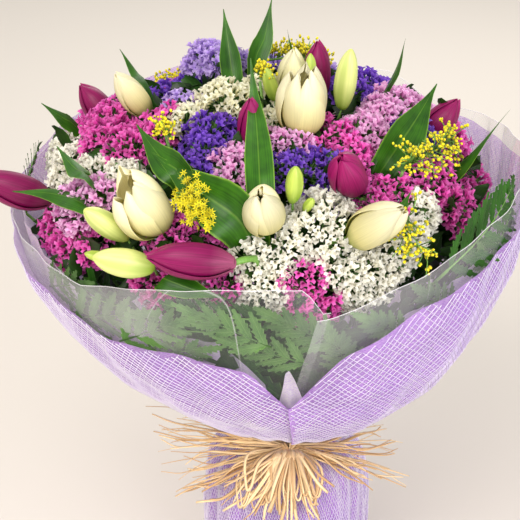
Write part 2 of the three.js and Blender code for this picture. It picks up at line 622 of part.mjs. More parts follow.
// Goldenrod plumes: a row of small lumps of florets along an arching twig
function makeGoldenrods() {
  goldenrods.forEach((flower, row) => {
    const ends = flower.plumes.map(([[side, tilt, lift = 0]]) => onDome(side, tilt, lift - 6));
    const middle = ends.reduce((sum, p) => sum.add(p), vec(0, 0, 0)).divideScalar(ends.length);
    const beads = flower.plumes.flatMap((plume) => {
      const curve = new THREE.CatmullRomCurve3(plume.map(([side, tilt, lift = 0]) => onDome(side, tilt, lift)));
      const count = Math.max(2, Math.round(curve.getLength() / plumeStep));
      return Array.from({ length: count }, (_, i) => {
        const t = i / (count - 1);
        return { at: curve.getPoint(t), girth: 8.6 - 3 * t };
      });
    });
    const runs = (grow) => flower.plumes.map((plume) => {
      const route = plume.map(([side, tilt, lift = 0], i) => onDome(side, tilt, lift - (i ? 2 : 7)));
      return stalk(route, route.map(() => 1.5 + grow), 4);
    });
    const heart = vec(dome.x, 0, dome.z - 40);
    const lumps = beads.map(({ at, girth }, i) =>
      floretLump(at, at.clone().sub(heart).normalize(), girth, girth * 0.8, 5 + i * 3 + row, plumePitch, plumeRise));
    const make = (split) => Manifold.union([branched(flower.place, split, ends, 1.9, 1.2), ...runs(0), ...lumps]);
    const { fork, body } = clearFork(flower.place, middle, make);
    add(flower.name, body, colours.yellow, 0.8);
    cleared.push(branched(flower.place, fork, ends, 1.9, 1.2, gap), ...runs(gap));
    for (const { at, girth } of beads)
      cleared.push(roomFor(at, axesAlong(at.clone().sub(heart)), girth + 4, girth + 4, girth + 2.5));
  });
}

// A fern frond: one arched blade cut to the rib in pairs of toothed lobes
function frond(start, tip, out, width) {
  const long = start.distanceTo(tip);
  const lobes = 4;
  const edge = (hand) =>
    Array.from({ length: lobes }, (_, i) => {
      const x = (i + 0.35) / (lobes + 0.6);
      const reach = (width / 2) * Math.sin(Math.PI * lerp(0.3, 0.93, x)) * hand;
      return [[x - 0.05, 1.6 * hand], [x + 0.12, reach], [x + 0.15, reach * 0.55]];
    }).flat();
  const left = edge(-1);
  const right = edge(1).reverse();
  const outline = [[-0.02, -1.2], ...left, [1, 0], ...right, [-0.02, 1.2]];
  const flat = outline.map(([x, y]) => new THREE.Vector2(x * long, y));
  const faces = THREE.ShapeUtils.triangulateShape(flat, []).flat();
  const run = tip.clone().sub(start).normalize();
  const over = out.clone().cross(run).normalize();
  const up = run.clone().cross(over).normalize();
  const points = flat.map(({ x, y }) => {
    const rise = long * 0.06 * Math.sin((Math.PI * x) / long) - Math.abs(y) * 0.18;
    return start.clone().addScaledVector(run, x).addScaledVector(over, y).addScaledVector(up, rise);
  });
  return slab(points, faces, leafThickness);
}

function makeFerns() {
  for (const fern of ferns) {
    const fronds = fern.fronds.map(([start, tip, width]) => {
      const [from, to] = [onDome(...start), onDome(...tip)];
      return { from, blade: frond(from, to, outward(start[0], start[1]), width) };
    });
    const mean = fronds.reduce((sum, f) => sum.add(f.from), vec(0, 0, 0)).divideScalar(fronds.length);
    const ends = fronds.map((f) => f.from);
    const make = (split) => Manifold.union([branched(fern.place, split, ends, 1.6, 1.2), ...fronds.map((f) => f.blade)]);
    const { fork, body } = clearFork(fern.place, mean, make, thinCrumb);
    add(fern.name, body, colours.fern);
    cleared.push(branched(fern.place, fork, ends, 1.6, 1.2, gap));
  }
}

// The net and the film are one sheet each, laid round the bunch with the front edges lapped.
// Radius against height above the tie, then each rim's height against the bearing round the sheet
const profile = [[-150, 68], [-65, 68], [-50, 67], [-33, 64], [-20, 58], [-11, 47], [-5, 34.5], [5, 34.5], [12, 50],
  [19, 69], [40, 101], [75, 140], [115, 170], [165, 195], [215, 206], [260, 212]];
const netRim = [[2, 95], [15, 150], [33, 180], [45, 188], [66, 207], [90, 225], [120, 240], [150, 245], [193, 250],
  [232, 212], [275, 175], [306, 160], [322, 142], [341, 143], [355, 135], [362, 95], [384, 90]];
const filmRim = [[13, 190], [28, 209], [34, 216], [65, 252], [105, 245], [137, 232], [149, 249], [162, 248],
  [200, 240], [260, 206], [317, 193], [340, 210], [354, 215], [367, 217], [371, 195]];

function sheet({ rim, low, inset, lap, thickness, folds, waves }) {
  const [first, last] = [rim[0][0], rim.at(-1)[0]];
  const steps = 24;
  const shares = [0.5, 1];
  const columns = Array.from({ length: steps + 1 }, (_, i) => {
    const side = lerp(first, last, i / steps);
    const lapped = lap * (1 - smooth(side, first + 28, first + 60));
    const levels = [...low, ...shares.map((share) => lerp(low.at(-1), along(rim, side), share))];
    return levels.map((level) => {
      const loose = smooth(Math.abs(level), 8, 60);
      const wave = loose * waves * Math.sin(rad(side * folds));
      const reach = along(profile, level) - inset * lerp(0.5, 1, smooth(level, 5, 12)) + lapped + wave;
      const drift = dome.x * 0.8 * smooth(level, 10, 200);
      const turn = rad(side);
      return vec(drift + reach * Math.sin(turn), -reach * Math.cos(turn), tieHeight + level);
    });
  });
  return gridSlab(columns, thickness);
}

function makeWraps() {
  const film = { rim: filmRim, low: [-4.5, 5, 14, 40, 80], inset: 6, lap: 0, thickness: 0.8, folds: 4, waves: 1.4 };
  add("film_sleeve", sheet(film), colours.film, 0.15);
  const net = { rim: netRim, low: [-150, -60, -25, -11, -5, 5, 14, 40, 80], inset: 0, lap: 3.4, thickness: 1, folds: 4, waves: 1.4 };
  add("net_wrap", sheet(net), colours.net, 0.9);
}

// Raffia: a band round the tie, a knot in front, loose ends and hanging loops
const raffiaEnds = [[-116, -34, 158], [-96, -30, 166], [-102, -44, 137], [-97, -52, 118], [-70, -64, 119],
  [90, -20, 160], [92, -42, 148], [97, -52, 125], [72, -62, 136]];
const raffiaLoops = [[-33, 119], [-12, 121], [6, 118], [21, 122]];

function makeRaffia() {
  const knot = vec(2, -45, 150);
  const band = solidOf(new THREE.TorusGeometry(41.7, 2.1, 4, 20).scale(1, 1, 1.4)).translate([0, 0, tieHeight]);
  const ends = raffiaEnds.map(([x, y, z], i) => {
    const tip = vec(x, y, z);
    const crown = knot.clone().lerp(tip, 0.5).add(vec(0, -8, lerp(2, 7, (i % 3) / 2)));
    const start = knot.clone().add(vec(Math.sign(x) * (2 + (i % 4)), -1, (i % 3) - 1));
    return stalk([start, crown, tip], [1.1, 1.1, 0.7], 3);
  });
  const loops = raffiaLoops.map(([x, z]) =>
    stalk([vec(knot.x + x * 0.12 - 1, -47, 149), vec(x * 0.9 - 6, -72, z + 20), vec(x - 3, -84, z), vec(x + 3, -84, z),
      vec(x * 0.8 + 6, -74, z + 18), vec(knot.x + x * 0.12 + 1, -47, 151)], [1, 1, 1, 1, 1, 1], 3));
  const heart = ellipsoid(knot, new THREE.Matrix4(), 8, 4.5, 4);
  const tie = Manifold.union([band, heart, ...ends, ...loops]);
  add("raffia_tie", biggest(tie.simplify(0.4)), colours.raffia, 0.8);
}

makeTulips();
makeLilies();
makeGoldenrods();
makeStatices();
makeFerns();
makeWraps();
makeRaffia();

export default root;
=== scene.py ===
import math
import random

import bpy
import numpy as np
from mathutils import Matrix, Vector, noise


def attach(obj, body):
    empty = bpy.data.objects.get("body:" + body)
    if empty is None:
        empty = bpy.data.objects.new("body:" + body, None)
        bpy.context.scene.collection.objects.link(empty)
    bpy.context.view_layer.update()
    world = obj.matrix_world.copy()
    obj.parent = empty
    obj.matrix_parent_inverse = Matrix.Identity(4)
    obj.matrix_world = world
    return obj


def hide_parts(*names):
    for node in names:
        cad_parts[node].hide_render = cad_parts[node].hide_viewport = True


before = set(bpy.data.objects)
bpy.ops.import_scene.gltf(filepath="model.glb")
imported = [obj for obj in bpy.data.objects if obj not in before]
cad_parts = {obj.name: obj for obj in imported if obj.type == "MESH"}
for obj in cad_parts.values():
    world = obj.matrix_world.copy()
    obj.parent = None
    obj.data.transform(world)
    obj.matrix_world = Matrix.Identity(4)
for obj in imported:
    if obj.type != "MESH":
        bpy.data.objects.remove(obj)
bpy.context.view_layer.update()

# Numbers for sizes and places are in millimetres, as in the part's own drawing, and meshes are in metres
mm = 0.001


# Camera, light and floor

studio = {
    "lookAt": (-22, 0, 296), "distance": 1400, "elevation": 25, "lens": 121, "sensor": 36, "farthest": 100,
    "floor": "d8d1c8", "floorSize": 14000, "floorLevel": -0.5, "room": "f8f6f3", "roomLight": 0.8,
    "key": {"at": (-700, -1350, 1500), "size": 1300, "power": 33, "colour": "fffaf4"},
    "fill": {"at": (1000, -1500, 520), "size": 1200, "power": 22, "colour": "f8f9ff"},
    "back": {"at": (300, 1400, 1300), "size": 1100, "power": 12, "colour": "fffcf8"},
}


# Turns an sRGB hex colour into the linear values that shaders take
def paint(code, alpha=1.0):
    parts = [int(code[i:i + 2], 16) / 255 for i in (0, 2, 4)]
    return tuple(c / 12.92 if c <= 0.04045 else ((c + 0.055) / 1.055) ** 2.4 for c in parts) + (alpha,)


def deselect():
    if bpy.context.object and bpy.context.object.mode != "OBJECT":
        bpy.ops.object.mode_set(mode="OBJECT")
    bpy.ops.object.select_all(action="DESELECT")


# Adds a shader node, sets its properties and fills its sockets with values or links. A node that is given
# as a value stands for the first of its outputs in use
def addNode(mat, kind, sockets=(), **props):
    made = mat.node_tree.nodes.new("ShaderNode" + kind)
    for name, value in props.items():
        setattr(made, name, value)
    for name, value in dict(sockets).items():
        if isinstance(value, bpy.types.Node):
            value = next(s for s in value.outputs if s.enabled)
        if isinstance(value, bpy.types.NodeSocket):
            mat.node_tree.links.new(value, made.inputs[name])
        else:
            made.inputs[name].default_value = value
    return made


def newMaterial(name):
    mat = bpy.data.materials.new(name)
    mat.use_nodes = True
    mat.node_tree.nodes.clear()
    return mat


def setOutput(mat, shader):
    addNode(mat, "OutputMaterial", {"Surface": shader})
    return mat


cameraTilt = math.radians(studio["elevation"])
towardsCamera = Vector((0, -math.cos(cameraTilt), math.sin(cameraTilt)))


def makeStudio():
    aim = Vector(studio["lookAt"]) * mm
    camera = bpy.data.objects.new("camera", bpy.data.cameras.new("camera"))
    bpy.context.scene.collection.objects.link(camera)
    camera.location = aim + towardsCamera * studio["distance"] * mm
    camera.rotation_euler = (-towardsCamera).to_track_quat("-Z", "Y").to_euler()
    camera.data.sensor_width = studio["sensor"]
    camera.data.lens = studio["lens"]
    camera.data.clip_end = studio["farthest"]
    bpy.context.scene.camera = camera

    for name in ("key", "fill", "back"):
        facts = studio[name]
        deselect()
        bpy.ops.object.light_add(type="AREA", location=Vector(facts["at"]) * mm)
        lamp = bpy.context.object
        lamp.name = "light_" + name
        lamp.rotation_euler = (aim - lamp.location).to_track_quat("-Z", "Y").to_euler()
        lamp.data.size = facts["size"] * mm
        lamp.data.energy = facts["power"]
        lamp.data.color = paint(facts["colour"])[:3]

    world = bpy.data.worlds.new("pale room")
    world.use_nodes = True
    sky = world.node_tree.nodes["Background"]
    sky.inputs["Color"].default_value = paint(studio["room"])
    sky.inputs["Strength"].default_value = studio["roomLight"]
    bpy.context.scene.world = world
    bpy.context.scene.view_settings.view_transform = "Standard"  # keeps the flowers' colours bright

    deselect()
    bpy.ops.mesh.primitive_plane_add(
        size=studio["floorSize"] * mm, location=(0, 0, studio["floorLevel"] * mm))
    floor = bpy.context.object
    floor.name = "floor"
    mat = newMaterial("pale matt paper")
    shade = addNode(mat, "BsdfPrincipled", {"Base Color": paint(studio["floor"]), "Roughness": 0.9})
    floor.data.materials.append(setOutput(mat, shade))


makeStudio()
print("studio ready")


# Places. side is the bearing round the dome of flowers, 0 towards the viewer and growing to the right,
# tilt the angle down from its top, and lift how far a place stands out of the dome

tieHeight = 150
dome = {"x": -20, "z": 345, "radius": 185, "rise": 113, "drop": 75}
stemPlan = {"pitch": 6.2, "footSpread": 2.2, "turnAtNeck": 18, "turnAtFoot": 75}


def onDome(side, tilt, lift=0):
    s, t = math.radians(side), math.radians(tilt)
    height = dome["rise"] if tilt <= 90 else dome["drop"]
    reach = (dome["radius"] + lift) * math.sin(t)
    return Vector((dome["x"] + reach * math.sin(s), -reach * math.cos(s),
                   dome["z"] + (height + lift) * math.cos(t)))


def outward(side, tilt):
    s, t = math.radians(side), math.radians(tilt)
    height = dome["rise"] if tilt <= 90 else dome["drop"]
    flat = math.sin(t) / dome["radius"]
    return Vector((flat * math.sin(s), -flat * math.cos(s), math.cos(t) / height)).normalized()


def direction(side, tilt):
    s, t = math.radians(side), math.radians(tilt)
    return Vector((math.sin(t) * math.sin(s), -math.sin(t) * math.cos(s), math.cos(t)))


# Three axes at right angles, as a matrix's columns, with the last along the given direction
def axesAlong(run, up=Vector((0, 0, 1))):
    w = run.normalized()
    steady = Vector((0, -1, 0)) if abs(w.dot(up)) > 0.96 else up
    u = steady.cross(w).normalized()
    return Matrix((u, w.cross(u), w)).transposed()


# One copy's place: it stands on a spot, looks along aim and is turned and sized as given
def placeCopy(spot, aim, size, *turns, up=Vector((0, 0, 1))):
    place = Matrix.Translation(spot) @ axesAlong(aim, up).to_4x4()
    for angle, axis in turns:
        place = place @ Matrix.Rotation(angle, 4, axis)
    return place @ Matrix.Diagonal(size).to_4x4()


def jitter(rand, size):
    return Vector([rand.gauss(0, size) for _ in range(3)])


def anyTurn(rand):
    return rand.uniform(0, 6.28)


def smooth(x, low, high):
    t = min(max((x - low) / (high - low), 0), 1)
    return t * t * (3 - 2 * t)


def lerp(a, b, t):
    return a + (b - a) * t


# Reads a line that is given by its corners
def along(corners, place):
    return float(np.interp(place, *zip(*corners)))


# A smooth curve through a few points, read at evenly spaced steps
def curveThrough(points, steps):
    pts = [Vector(p) for p in points]
    pts = [pts[0] * 2 - pts[1]] + pts + [pts[-1] * 2 - pts[-2]]
    spans = len(pts) - 3
    found = []
    for i in range(steps + 1):
        place = min(i / steps * spans, spans - 1e-6)
        k, t = int(place), place - int(place)
        a, b, c, d = pts[k:k + 4]
        found.append(0.5 * (2 * b + (c - a) * t + (2 * a - 5 * b + 4 * c - d) * t * t
                            + (3 * b - a - 3 * c + d) * t ** 3))
    return found


# Meshes

# Everything that is joined into one piece: points in millimetres, faces, places on the pattern,
# which material each face has, and two numbers a point that materials read
class Heap:
    def __init__(self):
        self.points, self.faces, self.coords, self.slots = [], [], [], []
        self.tints, self.rims = [], []
        self.count = 0

    def add(self, points, faces, coords=None, slot=0, tint=0.5, rims=None):
        points = np.asarray(points, float).reshape(-1, 3)
        n = len(points)
        self.points.append(points)
        self.faces.extend([tuple(int(i) + self.count for i in face) for face in faces])
        self.coords.append(np.zeros((n, 2)) if coords is None else np.asarray(coords, float).reshape(-1, 2))
        self.slots.extend([slot] * len(faces))
        self.tints.append(np.full(n, tint, float) if np.isscalar(tint) else np.asarray(tint, float))
        self.rims.append(np.zeros(n) if rims is None else np.asarray(rims, float))
        self.count += n


# The faces of a grid whose points go row by row
def gridFaces(rows, columns):
    n = columns + 1
    return [(r * n + c, r * n + c + 1, (r + 1) * n + c + 1, (r + 1) * n + c)
            for r in range(rows) for c in range(columns)]


# A copy of a modelled shape at its own place, with its own tint
def copyInto(heap, shape, place, tint, slot=0):
    points = shape["points"] @ np.array(place.to_3x3()).T + np.array(place.translation)
    heap.add(points, shape["faces"], shape["coords"], slot, tint, shape["rims"])


# Reads a modelled object as a shape to copy, and removes it
def shapeOf(obj, rims=None):
    mesh = obj.data
    points = np.array([v.co for v in mesh.vertices]) / mm
    faces = [tuple(p.vertices) for p in mesh.polygons]
    coords = np.zeros((len(points), 2))
    if mesh.uv_layers:
        for loop, spot in zip(mesh.loops, mesh.uv_layers[0].data):
            coords[loop.vertex_index] = spot.uv
    if rims is None:
        rims = (points[:, 2] - points[:, 2].min()) / np.ptp(points[:, 2])
    bpy.data.objects.remove(obj)
    return {"points": points, "faces": faces, "coords": coords, "rims": rims}


# Makes a heap one piece of the bouquet, in place of the CAD nodes that it stands for
def buildPiece(name, heap, materials, nodes=(), rounded=True):
    mesh = bpy.data.meshes.new(name)
    points = np.concatenate(heap.points) * mm
    mesh.from_pydata(points.tolist(), [], heap.faces)
    layer = mesh.uv_layers.new(name="pattern")
    corners = np.zeros(len(mesh.loops), int)
    mesh.loops.foreach_get("vertex_index", corners)
    layer.data.foreach_set("uv", np.concatenate(heap.coords)[corners].astype(np.float32).ravel())
    for label, values in (("tint", heap.tints), ("rim", heap.rims)):
        mesh.attributes.new(label, "FLOAT", "POINT").data.foreach_set(
            "value", np.concatenate(values).astype(np.float32))
    for mat in materials:
        mesh.materials.append(mat)
    mesh.polygons.foreach_set("material_index", heap.slots)
    mesh.polygons.foreach_set("use_smooth", [rounded] * len(mesh.polygons))
    mesh.update()
    piece = bpy.data.objects.new(name, mesh)
    bpy.context.scene.collection.objects.link(piece)
    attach(piece, "root")
    if nodes:
        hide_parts(*nodes)
    return piece


def applyModifier(obj, kind, **settings):
    deselect()
    obj.select_set(True)
    bpy.context.view_layer.objects.active = obj
    mod = obj.modifiers.new(kind.lower(), kind)
    for name, value in settings.items():
        setattr(mod, name, value)
    bpy.ops.object.modifier_apply(modifier=mod.name)


# Selects the points of an object in edit mode that pass a test on their place in millimetres
def pick(obj, test):
    bpy.ops.object.mode_set(mode="EDIT")
    bpy.ops.mesh.select_mode(type="VERT")
    bpy.ops.mesh.select_all(action="DESELECT")
    bpy.ops.object.mode_set(mode="OBJECT")
    for v in obj.data.vertices:
        v.select = bool(test(v.co / mm))
    bpy.ops.object.mode_set(mode="EDIT")


# A tube along a route, with any count of sides and its own radius at each point
def addTube(heap, route, radii, sides=5, slot=0, tint=0.5, flat=1.0):
    pts = [Vector(p) for p in route]
    n = len(pts)
    points, coords, rims = [], [], []
    up = None
    travelled = 0
    for i, p in enumerate(pts):
        run = (pts[min(i + 1, n - 1)] - pts[max(i - 1, 0)]).normalized()
        if up is None:
            up = Vector((1, 0, 0)) if abs(run.z) > 0.5 else Vector((0, 0, 1))
        up = (up - run * up.dot(run)).normalized()
        side = run.cross(up)
        if i:
            travelled += (p - pts[i - 1]).length
        for k in range(sides):
            turn = 2 * math.pi * k / sides
            wide, high = radii[i] * math.cos(turn), radii[i] * flat * math.sin(turn)
            points.append(tuple(p + side * wide + up * high))
            coords.append((k / sides, travelled * mm))
            rims.append(i / (n - 1))
    faces = []
    for i in range(n - 1):
        for k in range(sides):
            a, b = i * sides + k, i * sides + (k + 1) % sides
            faces.append((a, b, b + sides, a + sides))
    faces.append(tuple(range(sides))[::-1])
    faces.append(tuple(range((n - 1) * sides, n * sides)))
    heap.add(points, faces, coords, slot, tint, rims)


# Radii from one size down to a share of it at the tip, over so many steps
def taper(thick, share, steps):
    return [thick * lerp(1, share, (i / steps) ** 2) for i in range(steps + 1)]


# Small shapes, each modelled once and copied

# Which of so many places round a circle a point has
def rimPlace(p, count):
    return round(math.degrees(math.atan2(p.y, p.x)) * count / 360)


# Rings are height and radius up the funnel, lobe and notch how far a rim point moves out or in and up or down
floretPlan = {"throat": 0.6, "points": 10, "rings": [(4.6, 1.3), (6.0, 2.75)], "lobe": (1.3, 0.5),
              "notch": (0.62, -0.4), "frill": 0.5}
tightPlan = {"throat": 0.6, "points": 8, "rings": [(4.4, 1.3), (6.2, 1.8)], "lobe": (1.25, 0.5),
             "notch": (0.85, -0.4), "frill": 0.4}


# A papery funnel with notched lobes; each seed frills its rim in another way
def modelFloret(plan, seed):
    rand = random.Random(seed)
    deselect()
    bpy.ops.mesh.primitive_circle_add(vertices=plan["points"], radius=plan["throat"] * mm)
    funnel = bpy.context.object
    bpy.ops.object.mode_set(mode="EDIT")
    bpy.ops.mesh.select_all(action="SELECT")
    last, reach = 0, plan["throat"]
    for high, wide in plan["rings"]:
        bpy.ops.mesh.extrude_region_move(TRANSFORM_OT_translate={"value": (0, 0, (high - last) * mm)})
        grow = wide / reach
        bpy.ops.transform.resize(value=(grow, grow, 1), center_override=(0, 0, high * mm))
        last, reach = high, wide
    for odd, (grow, rise) in enumerate((plan["lobe"], plan["notch"])):
        pick(funnel, lambda p: p.z > last - 0.3 and rimPlace(p, plan["points"]) % 2 == odd)
        bpy.ops.transform.resize(value=(grow, grow, 1), center_override=(0, 0, last * mm))
        bpy.ops.transform.translate(value=(0, 0, rise * mm))
    bpy.ops.object.mode_set(mode="OBJECT")
    for v in funnel.data.vertices:
        if v.co.z > (plan["rings"][-2][0] + 0.1) * mm:
            v.co += Vector([rand.uniform(-1, 1) * plan["frill"] for _ in range(3)]) * mm
    return shapeOf(funnel)


# A small pointed leaf with a raised rib, for bracts and filling green
def modelBract():
    deselect()
    bpy.ops.mesh.primitive_grid_add(x_subdivisions=2, y_subdivisions=4, size=2 * mm)
    leaf = bpy.context.object
    for v in leaf.data.vertices:
        x, y = v.co.x / mm, (v.co.y / mm + 1) / 2
        wide = 0.34 * math.sin(math.pi * min(y * 0.92 + 0.08, 1)) ** 0.8
        v.co = Vector((x * wide, 0.12 * abs(x) - 0.25 * y * y, y)) * mm
    return shapeOf(leaf)


budPlan = {"segments": 18, "rings": 10, "rib": 0.74, "outline": [
    (0, 0.16), (0.08, 0.3), (0.3, 0.48), (0.55, 0.5), (0.78, 0.4), (0.92, 0.22), (1, 0.05)]}


# A lily bud of unit size: three broad ribs, and a blunt beak where the tepals meet
def modelBud():
    deselect()
    bpy.ops.mesh.primitive_uv_sphere_add(
        segments=budPlan["segments"], ring_count=budPlan["rings"], radius=0.5 * mm)
    bud = bpy.context.object
    ribs = []
    for v in bud.data.vertices:
        p = v.co / mm
        high = p.z + 0.5
        reach = along(budPlan["outline"], high)
        turn = math.atan2(p.y, p.x)
        groove = abs(math.cos(1.5 * turn)) ** 0.5  # the tepals meet in three narrow grooves
        rib = budPlan["rib"] + (1 - budPlan["rib"]) * groove
        ribs.append(groove)
        if math.hypot(p.x, p.y) < 1e-4:
            reach = 0
        v.co = Vector((reach * rib * math.cos(turn), reach * rib * math.sin(turn), high)) * mm
    return shapeOf(bud, ribs)


# Each step round the star is how far out and how high its points stand
starPlan = {"points": 12, "reach": 2.2, "heart": 0.4, "steps": [(1.15, 1.9), (0.42, 1.2)]}


# A yellow star of fine rays
def modelStar():
    deselect()
    bpy.ops.mesh.primitive_circle_add(
        vertices=starPlan["points"], radius=starPlan["reach"] * mm, fill_type="TRIFAN")
    star = bpy.context.object
    for v in star.data.vertices:
        p = v.co / mm
        grow, high = starPlan["steps"][rimPlace(p, starPlan["points"]) % 2]
        if math.hypot(p.x, p.y) < 0.1:
            high = starPlan["heart"]
        v.co = Vector((p.x * grow, p.y * grow, high)) * mm
    return shapeOf(star)


def modelBead():
    deselect()
    bpy.ops.mesh.primitive_ico_sphere_add(subdivisions=1, radius=1 * mm)
    bead = bpy.context.object
    bpy.ops.object.mode_set(mode="EDIT")
    bpy.ops.mesh.select_all(action="SELECT")
    bpy.ops.transform.resize(value=(0.85, 0.85, 1.35))
    bpy.ops.object.mode_set(mode="OBJECT")
    return shapeOf(bead)


floretShapes = [modelFloret(floretPlan, seed) for seed in (1, 2, 3)]
floretShapes.append(modelFloret(tightPlan, 4))
bractShape = modelBract()
budShape = modelBud()
starShape = modelStar()
beadShape = modelBead()
print("small shapes modelled")


# Materials

# Puts a ramp's colours at their places
def setStops(ramp, *stops):
    marks = ramp.color_ramp.elements
    for (place, code), mark in zip(stops, marks):
        mark.color = paint(code)
        mark.position = place
    for place, code in stops[2:]:
        marks.new(place).color = paint(code)


# The surface of anything thin, that lets a share of the light through to its other side
def thinSurface(mat, colour, through, skin):
    near = addNode(mat, "BsdfPrincipled", {"Base Color": colour, **skin})
    far = addNode(mat, "BsdfTranslucent", {"Color": colour})
    return addNode(mat, "MixShader", {0: through, 1: near, 2: far})


# Veins or fibres: a noise that is drawn out along a pattern
def streaksAlong(mat, place, scale, detail, rough=0.5):
    spread = addNode(mat, "Mapping", {"Vector": place, "Scale": scale})
    return addNode(mat, "TexNoise", {"Vector": spread, "Scale": 1, "Detail": detail, "Roughness": rough})


# How bright one floret, petal or leaf is beside its neighbours
def tintBetween(mat, low, high):
    tint = addNode(mat, "Attribute", attribute_name="tint")
    return addNode(mat, "MapRange", {"Value": tint.outputs["Fac"], "To Min": low, "To Max": high})


# Statice floret, a dry papery calyx: matt, letting some light through, and painted darker down its throat as
# shade
def papery(name, deep, mid, pale, through):
    mat = newMaterial(name)
    rim = addNode(mat, "Attribute", attribute_name="rim")
    ramp = addNode(mat, "ValToRGB", {"Fac": rim.outputs["Fac"]})
    # painted shade: darkest at the floret's foot, palest at its rim
    setStops(ramp, (0.15, deep), (0.62, mid), (1, pale))
    colour = addNode(mat, "HueSaturation", {"Color": ramp, "Value": tintBetween(mat, 0.7, 1.12)})
    return setOutput(mat, thinSurface(mat, colour, through, {"Roughness": 0.7, "Sheen Weight": 0.15}))


# Tulip petal: satin and finely veined from the foot to the tip, paler or greener at the foot
def petalSkin(name, foot, body, edge, veinDepth, through):
    mat = newMaterial(name)
    place = addNode(mat, "UVMap", uv_map="pattern")
    split = addNode(mat, "SeparateXYZ", {"Vector": place})
    ramp = addNode(mat, "ValToRGB", {"Fac": split.outputs["Y"]})
    setStops(ramp, (0.02, foot), (0.3, body), (1, edge))
    veins = streaksAlong(mat, place, (34, 1.6, 1), 3, 0.6)  # lengthways, about 0.8 mm apart
    depth = addNode(mat, "MapRange", {"Value": veins, "From Min": 0.3, "From Max": 0.7,
                                      "To Min": 1 - veinDepth, "To Max": 1 + veinDepth})
    both = addNode(mat, "Math", {0: depth, 1: tintBetween(mat, 0.86, 1.12)}, operation="MULTIPLY")
    colour = addNode(mat, "HueSaturation", {"Color": ramp, "Value": both})
    bump = addNode(mat, "Bump", {"Height": veins, "Strength": 0.12, "Distance": 0.0004})
    return setOutput(mat, thinSurface(mat, colour, through, {
        "Roughness": 0.42, "Specular IOR Level": 0.25, "Normal": bump}))


# Lily bud: smooth and waxy, cream along its ribs, green at its foot and down the grooves between the tepals
def tepalSkin(name, groove, foot, body, tip):
    mat = newMaterial(name)
    place = addNode(mat, "UVMap", uv_map="pattern")
    split = addNode(mat, "SeparateXYZ", {"Vector": place})
    ramp = addNode(mat, "ValToRGB", {"Fac": split.outputs["Y"]})
    setStops(ramp, (0.08, foot), (0.5, body), (0.82, body), (1, tip))
    rib = addNode(mat, "Attribute", attribute_name="rim")
    deep = addNode(mat, "MapRange", {"Value": rib.outputs["Fac"], "From Min": 0.85, "From Max": 0.15,
                                     "To Max": 0.85})
    veins = streaksAlong(mat, place, (30, 2, 1), 2)
    streak = addNode(mat, "MapRange", {"Value": veins, "From Min": 0.35, "From Max": 0.75, "To Max": 0.3})
    both = addNode(mat, "Math", {0: deep, 1: streak}, operation="MAXIMUM")
    colour = addNode(mat, "Mix", {"Factor": both, 6: ramp, 7: paint(groove)}, data_type="RGBA")
    return setOutput(mat, thinSurface(mat, colour, 0.18, {"Roughness": 0.38}))


# Leaf: waxy, with parallel veins, a paler rib and paler edges
def leafSkin(name, dark, light, edge, gloss, veinsAcross=26):
    mat = newMaterial(name)
    place = addNode(mat, "UVMap", uv_map="pattern")
    veins = streaksAlong(mat, place, (veinsAcross, 1.2, 1), 2)
    spots = addNode(mat, "TexCoord")
    patches = addNode(mat, "TexNoise", {"Vector": spots.outputs["Object"], "Scale": 60, "Detail": 2})
    blend = addNode(mat, "Math", {0: veins, 1: patches}, operation="ADD")
    share = addNode(mat, "MapRange", {"Value": blend, "From Min": 0.7, "From Max": 1.3})
    body = addNode(mat, "Mix", {"Factor": share, 6: paint(dark), 7: paint(light)}, data_type="RGBA")
    split = addNode(mat, "SeparateXYZ", {"Vector": place})
    off = addNode(mat, "Math", {0: split.outputs["X"], 1: 0.5}, operation="SUBTRACT")
    away = addNode(mat, "Math", {0: off}, operation="ABSOLUTE")
    atEdge = addNode(mat, "MapRange", {"Value": away, "From Min": 0.455, "From Max": 0.5, "To Max": 0.8})
    atRib = addNode(mat, "MapRange", {"Value": away, "From Min": 0.03, "From Max": 0, "To Max": 0.3})
    pale = addNode(mat, "Math", {0: atEdge, 1: atRib}, operation="MAXIMUM")
    plain = addNode(mat, "Mix", {"Factor": pale, 6: body, 7: paint(edge)}, data_type="RGBA")
    colour = addNode(mat, "HueSaturation", {"Color": plain, "Value": tintBetween(mat, 0.6, 1.3)})
    bump = addNode(mat, "Bump", {"Height": veins, "Strength": 0.25, "Distance": 0.0006})
    return setOutput(mat, thinSurface(mat, colour, 0.18, {
        "Roughness": gloss, "Specular IOR Level": 0.35, "Normal": bump}))


# Fresh stem: smooth, a little glossy, with fine streaks along it
def stemSkin(name, dark, light):
    mat = newMaterial(name)
    place = addNode(mat, "TexCoord")
    grain = streaksAlong(mat, place.outputs["Object"], (900, 900, 60), 2)
    colour = addNode(mat, "Mix", {"Factor": grain, 6: paint(dark), 7: paint(light)}, data_type="RGBA")
    return setOutput(mat, addNode(mat, "BsdfPrincipled", {"Base Color": colour, "Roughness": 0.45}))


# Raffia: dry leaf fibre, matt with a faint silky streak along each strand
def raffiaSkin():
    mat = newMaterial("dried raffia")
    place = addNode(mat, "UVMap", uv_map="pattern")
    grain = streaksAlong(mat, place, (9, 30, 1), 4)
    tint = addNode(mat, "Attribute", attribute_name="tint")
    both = addNode(mat, "Math", {0: grain, 1: tint.outputs["Fac"]}, operation="ADD")
    share = addNode(mat, "MapRange", {"Value": both, "From Min": 0.35, "From Max": 1.35})
    colour = addNode(mat, "Mix", {"Factor": share, 6: paint("b98449"), 7: paint("f7d8a4")}, data_type="RGBA")
    bump = addNode(mat, "Bump", {"Height": grain, "Strength": 0.3, "Distance": 0.0003})
    return setOutput(mat, addNode(mat, "BsdfPrincipled", {
        "Base Color": colour, "Roughness": 0.5, "Sheen Weight": 0.3, "Normal": bump}))


